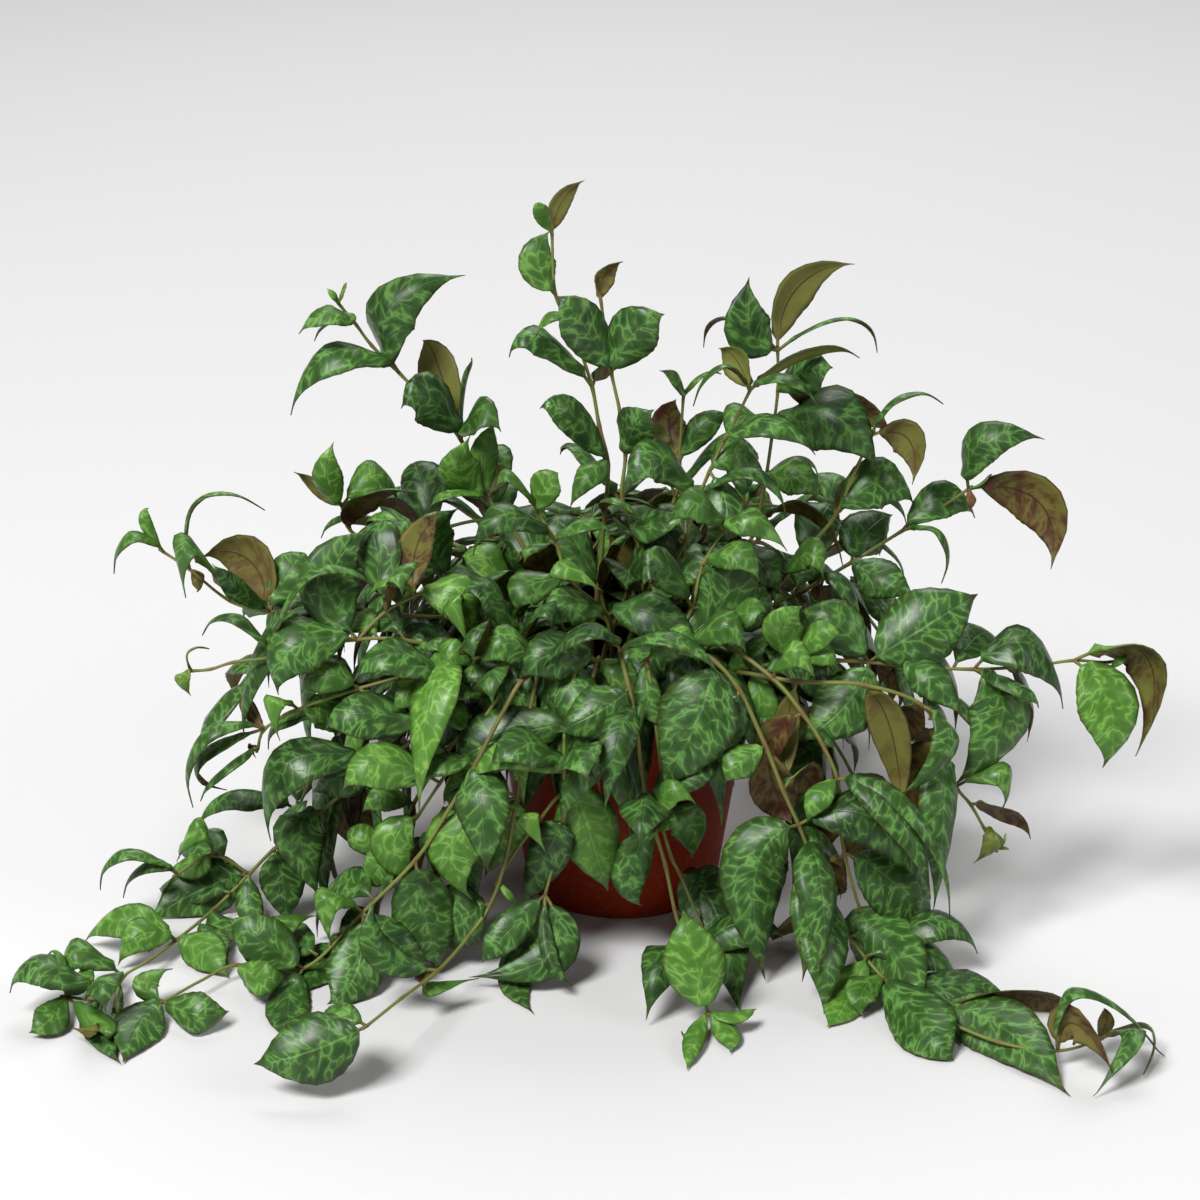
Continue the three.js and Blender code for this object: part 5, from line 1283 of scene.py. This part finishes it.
class PLANT_OT_soil(bpy.types.Operator):
    """Fills the pot with lumpy soil and loose crumbs"""
    bl_idname = "plant.soil"
    bl_label = "Soil"

    def execute(self, context):
        look = context.scene.potted_soil
        neck = NECK_RADIUS - WALL - SEAT_GAP
        bottom = BASE_THICKNESS + SEAT_GAP
        edge = neck + 1.2
        profile = [(BASE_RADIUS - 8, bottom), (BASE_RADIUS - WALL - SEAT_GAP - 1, bottom),
                   (neck - 0.3, BAND_BOTTOM - 2), (edge, SOIL_TOP - 2)]
        for number in range(1, SOIL_RINGS):
            radius = edge * (1 - number / SOIL_RINGS)
            profile.append((radius, soil_height(radius, edge)))
        soil = turned_ring("potting_soil", profile, SOIL_SIDES)
        cap_open_rings(soil)
        for vertex in soil.data.vertices:
            if vertex.co.z > (SOIL_TOP - 1) * MM:
                rough = noise.fractal(vertex.co * LUMP_SCALE, 0.7, 2.1, 4)
                vertex.co.z += rough * look.lumps * 0.55
        crumbs = self.scatter_crumbs(look, edge)
        choose(soil, *crumbs)
        bpy.ops.object.join()
        choose(soil)
        bpy.ops.object.shade_smooth()
        finish_piece(soil, "soil", soil_material(look), "soil")
        return {"FINISHED"}

    def scatter_crumbs(self, look, edge):
        """Loose crumbs of soil, each a squashed lump of its own."""
        seeded = random.Random(CRUMB_SEED)
        deselect_all()
        bpy.ops.mesh.primitive_ico_sphere_add(subdivisions=1, radius=1)
        first = bpy.context.object
        crumbs = []
        for _ in range(look.crumbs):
            crumb = first.copy()
            crumb.data = first.data.copy()
            bpy.context.collection.objects.link(crumb)
            angle = seeded.uniform(0, 2 * math.pi)
            reach = edge * 0.96 * math.sqrt(seeded.random())
            height = soil_height(reach, edge) + seeded.uniform(*CRUMB_RISES)
            size = seeded.uniform(*CRUMB_SIZES) * MM
            place = Vector((reach * math.cos(angle), reach * math.sin(angle), height)) * MM
            turn = Quaternion((seeded.random(), seeded.random(), 1), seeded.uniform(0, 6))
            sizes = (size, size * seeded.uniform(0.6, 1), size * seeded.uniform(0.4, 0.8), 1)
            turned = turn.to_matrix().to_4x4() @ Matrix.Diagonal(sizes)
            crumb.data.transform(Matrix.Translation(place) @ turned)
            crumbs.append(crumb)
        bpy.data.objects.remove(first)
        return crumbs


# The leafy stems

def row_share(share):
    """Where a row of faces lies on a leaf: closer together near its foot and its tip."""
    return 0.6 * share + 0.4 * (0.5 - 0.5 * math.cos(math.pi * share))


def blade_template(columns, rows):
    """A flat blade with two faces: x across from -1 to 1, y along from 0 to 1, and z -1 below to 1 above."""
    deselect_all()
    bpy.ops.mesh.primitive_grid_add(x_subdivisions=columns, y_subdivisions=rows, size=2)
    blade = bpy.context.object
    apply_modifier(blade, "SOLIDIFY", thickness=2, offset=0, use_even_offset=False)
    mesh = blade.data
    for vertex in mesh.vertices:
        vertex.co.y = row_share((vertex.co.y + 1) / 2)
        vertex.co.z = math.copysign(1, vertex.co.z)
    shape = bmesh.new()
    shape.from_mesh(mesh)
    place = shape.loops.layers.uv.new("place")
    shape.loops.layers.uv.new("pattern")
    for face in shape.faces:
        face.smooth = True
        flat = abs(face.normal.z) > 0.5
        face.material_index = 1 if flat and face.normal.z < 0 else 0
        if max(vertex.co.y for vertex in face.verts) <= STALK_MATERIAL_SHARE:
            face.material_index = 2
        for loop in face.loops:
            loop[place].uv = (loop.vert.co.x / 2 + 0.5, loop.vert.co.y)
    shape.to_mesh(mesh)
    shape.free()
    for name in ("tone", "young", "knot"):
        mesh.attributes.new(name, "FLOAT", "POINT")
    return blade


def eased(value, low, high):
    """A smooth step from 0 to 1 as a value goes from low to high."""
    step = np.clip((value - low) / (high - low), 0, 1)
    return step * step * (3 - 2 * step)


def half_widths(share, width):
    """Half the width of a leaf at shares of its length: a stalk, an oval blade and a drawn point."""
    along = np.clip((share - STALK_SHARE) / (1 - STALK_SHARE), 0, 1)
    oval = 1.02 * np.sin(math.pi * along ** 0.8) ** (0.62 + 0.62 * along) * width / 2
    point = (1 - along) / 0.19 * width / 9
    drawn = eased(along, 0.8, 0.95)
    blade = oval * (1 - drawn) + point * drawn
    stalk = STALK_HALF * (1 - along) + STALK_END
    return np.maximum(blade, stalk)


def midrib_frames(leaf, shares):
    """Where a leaf's midrib runs, and which ways its side and its upper face point there."""
    base, bow, tip = (np.array(leaf[name]) for name in ("base", "bow", "tip"))
    rest = 1 - shares
    middle = np.outer(rest ** 2, base) + np.outer(2 * shares * rest, bow) + np.outer(shares ** 2, tip)
    along = np.outer(rest, bow - base) + np.outer(shares, tip - bow)
    along /= np.linalg.norm(along, axis=1, keepdims=True)
    side = np.array(leaf["side"]) - along * (along @ np.array(leaf["side"]))[:, None]
    side /= np.linalg.norm(side, axis=1, keepdims=True)
    return middle, side, np.cross(side, along)


def blade_heights(away, share, half, blade, length, number):
    """How far a blade's points lie off its flat form: domed, folded, rippled, hooked and channelled."""
    phase = 2 * math.pi * draw(number, 1, 1)
    waves = vary(WAVES, number, 2, 1)
    rise = -LEAF_DOME * vary(DOMES, number, 4, 1) * away ** 2
    rise = rise - LEAF_FOLD * draw(number, 3, 1) * (np.abs(away) - 0.5 * away ** 2)
    rise = rise + RIPPLE * away ** 2 * np.sin(2 * math.pi * waves * share + phase + 1.6 * away)
    hook = HOOK * length * eased(share, 0.7, 1.1) ** 1.6
    return rise * (half * blade) - hook - CHANNEL_DEPTH * np.exp(-(away / CHANNEL_WIDTH) ** 2) * blade


def blade_places(leaf, template, thickness, number):
    """The places of a blade's points, and where they lie on its pattern, in centimetres."""
    across, shares, layer, column, row = template
    away, share = across[:, None], shares[None, :]
    middle, side, face = midrib_frames(leaf, shares)
    length = np.linalg.norm(np.array(leaf["tip"]) - np.array(leaf["base"]))
    half = half_widths(share, min(leaf["width"] * SLIMMER, length / LEAST_SLENDER))
    blade = eased(share, STALK_SHARE, STALK_SHARE + 0.1)
    height = blade_heights(away, share, half, blade, length, number)
    teeth = TEETH * leaf["width"] * (np.arange(len(shares)) % 2) * blade * (half > TEETH_HALF)
    sway = SWAY * length * (draw(number, 8, 1) - 0.5) * share ** 3
    sideways = away * half + np.sign(away) * (away ** 2 > 0.99) * teeth + sway
    places = middle[None] + side[None] * sideways[..., None] + face[None] * height[..., None]
    above = places[..., 2] - REST_HEIGHT
    places[..., 2] = REST_HEIGHT + np.logaddexp(0, above / SOFT_REST) * SOFT_REST
    slope = np.cross(np.gradient(places, axis=0), np.gradient(places, axis=1))
    slope /= np.maximum(np.linalg.norm(slope, axis=2, keepdims=True), 1e-9)
    body = thickness / 2 * (1 - 0.5 * away ** 2) * np.clip((1.04 - share) / 0.14, 0.3, 1)
    stalk = np.sqrt(np.clip(1 - away ** 2, 0.004, 1)) * half
    body = body * blade + stalk * (1 - blade)
    flat = np.stack([away * half, np.broadcast_to(share * length, body.shape)], axis=2) / 10
    points = places[column, row] + slope[column, row] * (layer * body[column, row])[:, None]
    return points, flat[column, row]


def set_point_values(mesh, name, values):
    """Gives each point of a mesh a value of that name."""
    attribute = mesh.attributes.get(name) or mesh.attributes.new(name, "FLOAT", "POINT")
    attribute.data.foreach_set("value", np.asarray(values, dtype=np.float32))


def grid_of(blade):
    """The flat blade as a grid: its columns, its rows, and each point's layer, column and row."""
    flat = np.empty(len(blade.data.vertices) * 3, dtype=np.float32)
    blade.data.vertices.foreach_get("co", flat)
    flat = flat.reshape(-1, 3).round(4).astype(float)
    across, column = np.unique(flat[:, 0], return_inverse=True)
    shares, row = np.unique(flat[:, 1], return_inverse=True)
    return across, shares, flat[:, 2], column, row


def shortness(length, longest, span):
    """How short a leaf is: 0 from the longest length on, and 1 where it is shorter by the span."""
    return min(1, max(0, (longest - length) / span))


def bent_blade(blade, template, leaf, number, thickness):
    """A copy of the flat blade, with its own mesh, bent into one leaf's place."""
    made = blade.copy()
    made.data = blade.data.copy()
    bpy.context.collection.objects.link(made)
    mesh = made.data
    places, pattern = blade_places(leaf, template, thickness, number)
    mesh.vertices.foreach_set("co", (places * MM).astype(np.float32).ravel())
    corner = np.empty(len(mesh.loops), dtype=np.int32)
    mesh.loops.foreach_get("vertex_index", corner)
    mesh.uv_layers["pattern"].data.foreach_set("uv", pattern[corner].astype(np.float32).ravel())
    outer = min(1, math.hypot(leaf["base"].x, leaf["base"].y) / OUTER_REACH)
    tone = TONE_DRAWN * draw(number, 5, 2) + TONE_OUTER * outer
    length = (leaf["tip"] - leaf["base"]).length
    young = shortness(length, YOUNG_LENGTH, YOUNG_SPAN) * vary(YOUTHS, number, 6, 2)
    chance = YOUNG_BY_CHANCE * max(0, draw(number, 7, 2) - NOT_BY_CHANCE) / (1 - NOT_BY_CHANCE)
    young = max(young, leaf.get("young", chance))
    count = len(mesh.vertices)
    set_point_values(mesh, "tone", np.full(count, tone))
    set_point_values(mesh, "young", np.full(count, young))
    # The value that marks the nodes of a stem marks the bronze of a leaf
    small = shortness(length, BRONZE_LENGTH, BRONZE_SPAN) * draw(number, 9, 2)
    set_point_values(mesh, "knot", np.full(count, max(0.2, small)))
    return made


def line_steps(line):
    """Close points along a line, between which it bends smoothly."""
    steps = []
    for number in range(len(line) - 1):
        before = line[max(0, number - 1)]
        start, end = line[number], line[number + 1]
        after = line[min(len(line) - 1, number + 2)]
        count = max(2, round((end - start).length / TUBE_STEP))
        steps += [between(before, start, end, after, step / count) for step in range(count)]
    return steps + [line[-1]]


def shares_passed(steps):
    """The share of a line's length that lies before each of its points."""
    lengths = [(end - start).length for start, end in zip(steps, steps[1:])]
    total = sum(lengths)
    passed = 0
    shares = [0]
    for length in lengths:
        passed += length
        shares.append(passed / total)
    return shares


def near_node(stem, place):
    """How far a place is from the nearest node of a stem."""
    return min((place - node).length for node in stem["nodes"])


def stem_tube(stem, look):
    """A tapered tube along a stem's line, swollen at its nodes."""
    steps = line_steps(smooth_line(stem["line"]))
    shares = shares_passed(steps)
    curve = bpy.data.curves.new(stem["name"], "CURVE")
    curve.dimensions = "3D"
    curve.bevel_depth = 1
    curve.bevel_resolution = look.sides
    curve.use_fill_caps = True
    spline = curve.splines.new("POLY")
    spline.points.add(len(steps) - 1)
    foot = look.base_radius * (1 if stem["owner"] == stem["name"] else BRANCH_SIZE)
    for point, place, share in zip(spline.points, steps, shares):
        swell = 1 + NODE_SWELLING * math.exp(-(near_node(stem, place) / NODE_REACH) ** 2)
        point.co = (*(place * MM), 1)
        point.radius = (foot + (look.tip_radius - foot) * share ** 0.8) * swell
    tube = bpy.data.objects.new(stem["name"], curve)
    bpy.context.collection.objects.link(tube)
    choose(tube)
    bpy.ops.object.convert(target="MESH")
    tube = bpy.context.object
    edit_whole(tube)
    bpy.ops.mesh.remove_doubles(threshold=SEAM * MM)
    bpy.ops.mesh.normals_make_consistent(inside=False)
    bpy.ops.object.mode_set(mode="OBJECT")
    bpy.ops.object.shade_smooth()
    set_stem_values(tube.data, stem, steps, shares)
    return tube


def set_stem_values(mesh, stem, steps, shares):
    """Sets how old the stem is at each point of its tube, and how near to a node."""
    tree = lookup([place * MM for place in steps])
    brown = vary(STEM_TONES, len(steps), 1, 4)
    tones, knots = [], []
    for vertex in mesh.vertices:
        place, index, _ = tree.find(vertex.co)
        knots.append(math.exp(-(near_node(stem, place / MM) / KNOT_REACH) ** 2))
        tones.append(max(0, 1 - TAN_FADE * shares[index]) * brown)
    set_point_values(mesh, "tone", tones)
    set_point_values(mesh, "young", np.zeros(len(mesh.vertices)))
    set_point_values(mesh, "knot", knots)


def between(before, start, end, after, share):
    """A point of a smooth line through four points, between the middle two."""
    return 0.5 * (2 * start + (end - before) * share
                  + (2 * before - 5 * start + 4 * end - after) * share ** 2
                  + (3 * start - before - 3 * end + after) * share ** 3)


class PLANT_OT_leafy_stems(bpy.types.Operator):
    """Builds each leafy stem: its tube, its stalks and its mottled leaves"""
    bl_idname = "plant.leafy_stems"
    bl_label = "Leafy Stems"

    def execute(self, context):
        leaves = context.scene.potted_leaves
        stems = context.scene.potted_stems
        materials = [leaf_top_material(leaves), leaf_under_material(leaves), stem_material(stems)]
        blades = {}
        for kind, share in (("large", 1), ("small", SMALL_BLADE)):
            blade = blade_template(round(leaves.columns * share), round(leaves.rows * share))
            for material in materials:
                blade.data.materials.append(material)
            blades[kind] = (blade, grid_of(blade))
        plan = plan_stems()
        for owner in [stem for stem in plan if stem["owner"] == stem["name"]]:
            pieces = []
            for stem in [one for one in plan if one["owner"] == owner["name"]]:
                tube = stem_tube(stem, stems)
                tube.data.materials.append(materials[2])
                pieces.append(tube)
                for leaf in stem["leaves"]:
                    number = round(leaf["tip"].dot(Vector((7, 13, 29))))
                    blade, grid = blades[leaf.get("kind", "large")]
                    pieces.append(bent_blade(blade, grid, leaf, number, leaves.thickness / MM))
            choose(*pieces)
            bpy.ops.object.join()
            piece = bpy.context.object
            piece.name = "stem_with_leaves_" + owner["name"]
            piece.data.name = piece.name
            hand_over(piece, "foliage", "leafy_stem_" + owner["name"])
        for blade, _ in blades.values():
            bpy.data.objects.remove(blade)
        return {"FINISHED"}


# The floor, the lights and the camera

class PLANT_OT_stage(bpy.types.Operator):
    """Sets the pale floor, the soft lights and the camera"""
    bl_idname = "plant.stage"
    bl_label = "Stage"

    def execute(self, context):
        look = context.scene.potted_stage
        deselect_all()
        bpy.ops.mesh.primitive_plane_add(size=look.floor_size)
        floor = bpy.context.object
        floor.name = "floor"
        floor.data.materials.append(floor_material(look))
        floor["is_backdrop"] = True
        self.add_light("key_light", look.key_power, 1.5, (-1.7, -2.1, 3.6))
        self.add_light("fill_light", look.fill_power, 1.2, (2.2, -0.9, 1.5))
        self.add_light("top_light", look.fill_power * 5, 2.2, (0.3, 2.4, 3.0))
        world = bpy.data.worlds.new("Soft sky")
        world.use_nodes = True
        background = world.node_tree.nodes["Background"]
        background.inputs["Color"].default_value = (1, 1, 1, 1)
        background.inputs["Strength"].default_value = look.sky
        context.scene.world = world
        context.scene.view_settings.view_transform = "Standard"
        self.add_camera(context)
        return {"FINISHED"}

    def add_light(self, name, power, size, place):
        """An area light that looks at the middle of the plant."""
        deselect_all()
        bpy.ops.object.light_add(type="AREA", location=place)
        light = bpy.context.object
        light.name = name
        light.data.energy = power
        light.data.size = size
        towards = Vector((0, 0, 0.18)) - Vector(place)
        light.rotation_euler = towards.to_track_quat("-Z", "Y").to_euler()

    def add_camera(self, context):
        """The camera on the line of sight of the picture."""
        data = bpy.data.cameras.new("camera")
        data.sensor_width = 36
        data.lens = data.sensor_width * SIGHT_DISTANCE / VIEW_WIDTH
        camera = bpy.data.objects.new("camera", data)
        camera.location = (AIM + TO_VIEWER * SIGHT_DISTANCE) * MM
        camera.rotation_euler = (math.pi / 2 - SIGHT_ELEVATION, 0, 0)
        context.scene.collection.objects.link(camera)
        context.scene.camera = camera


class PLANT_PT_panel(bpy.types.Panel):
    """Lists the pieces of the plant with their sizes and colours"""
    bl_idname = "PLANT_PT_panel"
    bl_label = "Potted Plant"
    bl_space_type = "VIEW_3D"
    bl_region_type = "UI"
    bl_category = "Plant"

    def draw(self, context):
        steps = (("plant.pot", "potted_pot"), ("plant.soil", "potted_soil"),
                 ("plant.leafy_stems", "potted_stems"), (None, "potted_leaves"),
                 ("plant.stage", "potted_stage"))
        for operator, settings in steps:
            box = self.layout.box()
            if operator:
                box.operator(operator)
            group = getattr(context.scene, settings)
            for name in group.__annotations__:
                box.prop(group, name)


CLASSES = (*SETTINGS.values(), PLANT_OT_pot, PLANT_OT_soil, PLANT_OT_leafy_stems, PLANT_OT_stage,
           PLANT_PT_panel)


def register():
    for one in CLASSES:
        bpy.utils.register_class(one)
    for name, group in SETTINGS.items():
        setattr(bpy.types.Scene, name, PointerProperty(type=group))


def unregister():
    for name in SETTINGS:
        delattr(bpy.types.Scene, name)
    for one in reversed(CLASSES):
        bpy.utils.unregister_class(one)


def main():
    register()
    bpy.ops.plant.stage()
    bpy.ops.plant.pot()
    bpy.ops.plant.soil()
    bpy.ops.plant.leafy_stems()
    boxes = {"cad": CAD_BOX, "visual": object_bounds()}
    plain = {name: [[float(value) for value in corner] for corner in box] for name, box in boxes.items()}


if __name__ == "__main__":
    main()
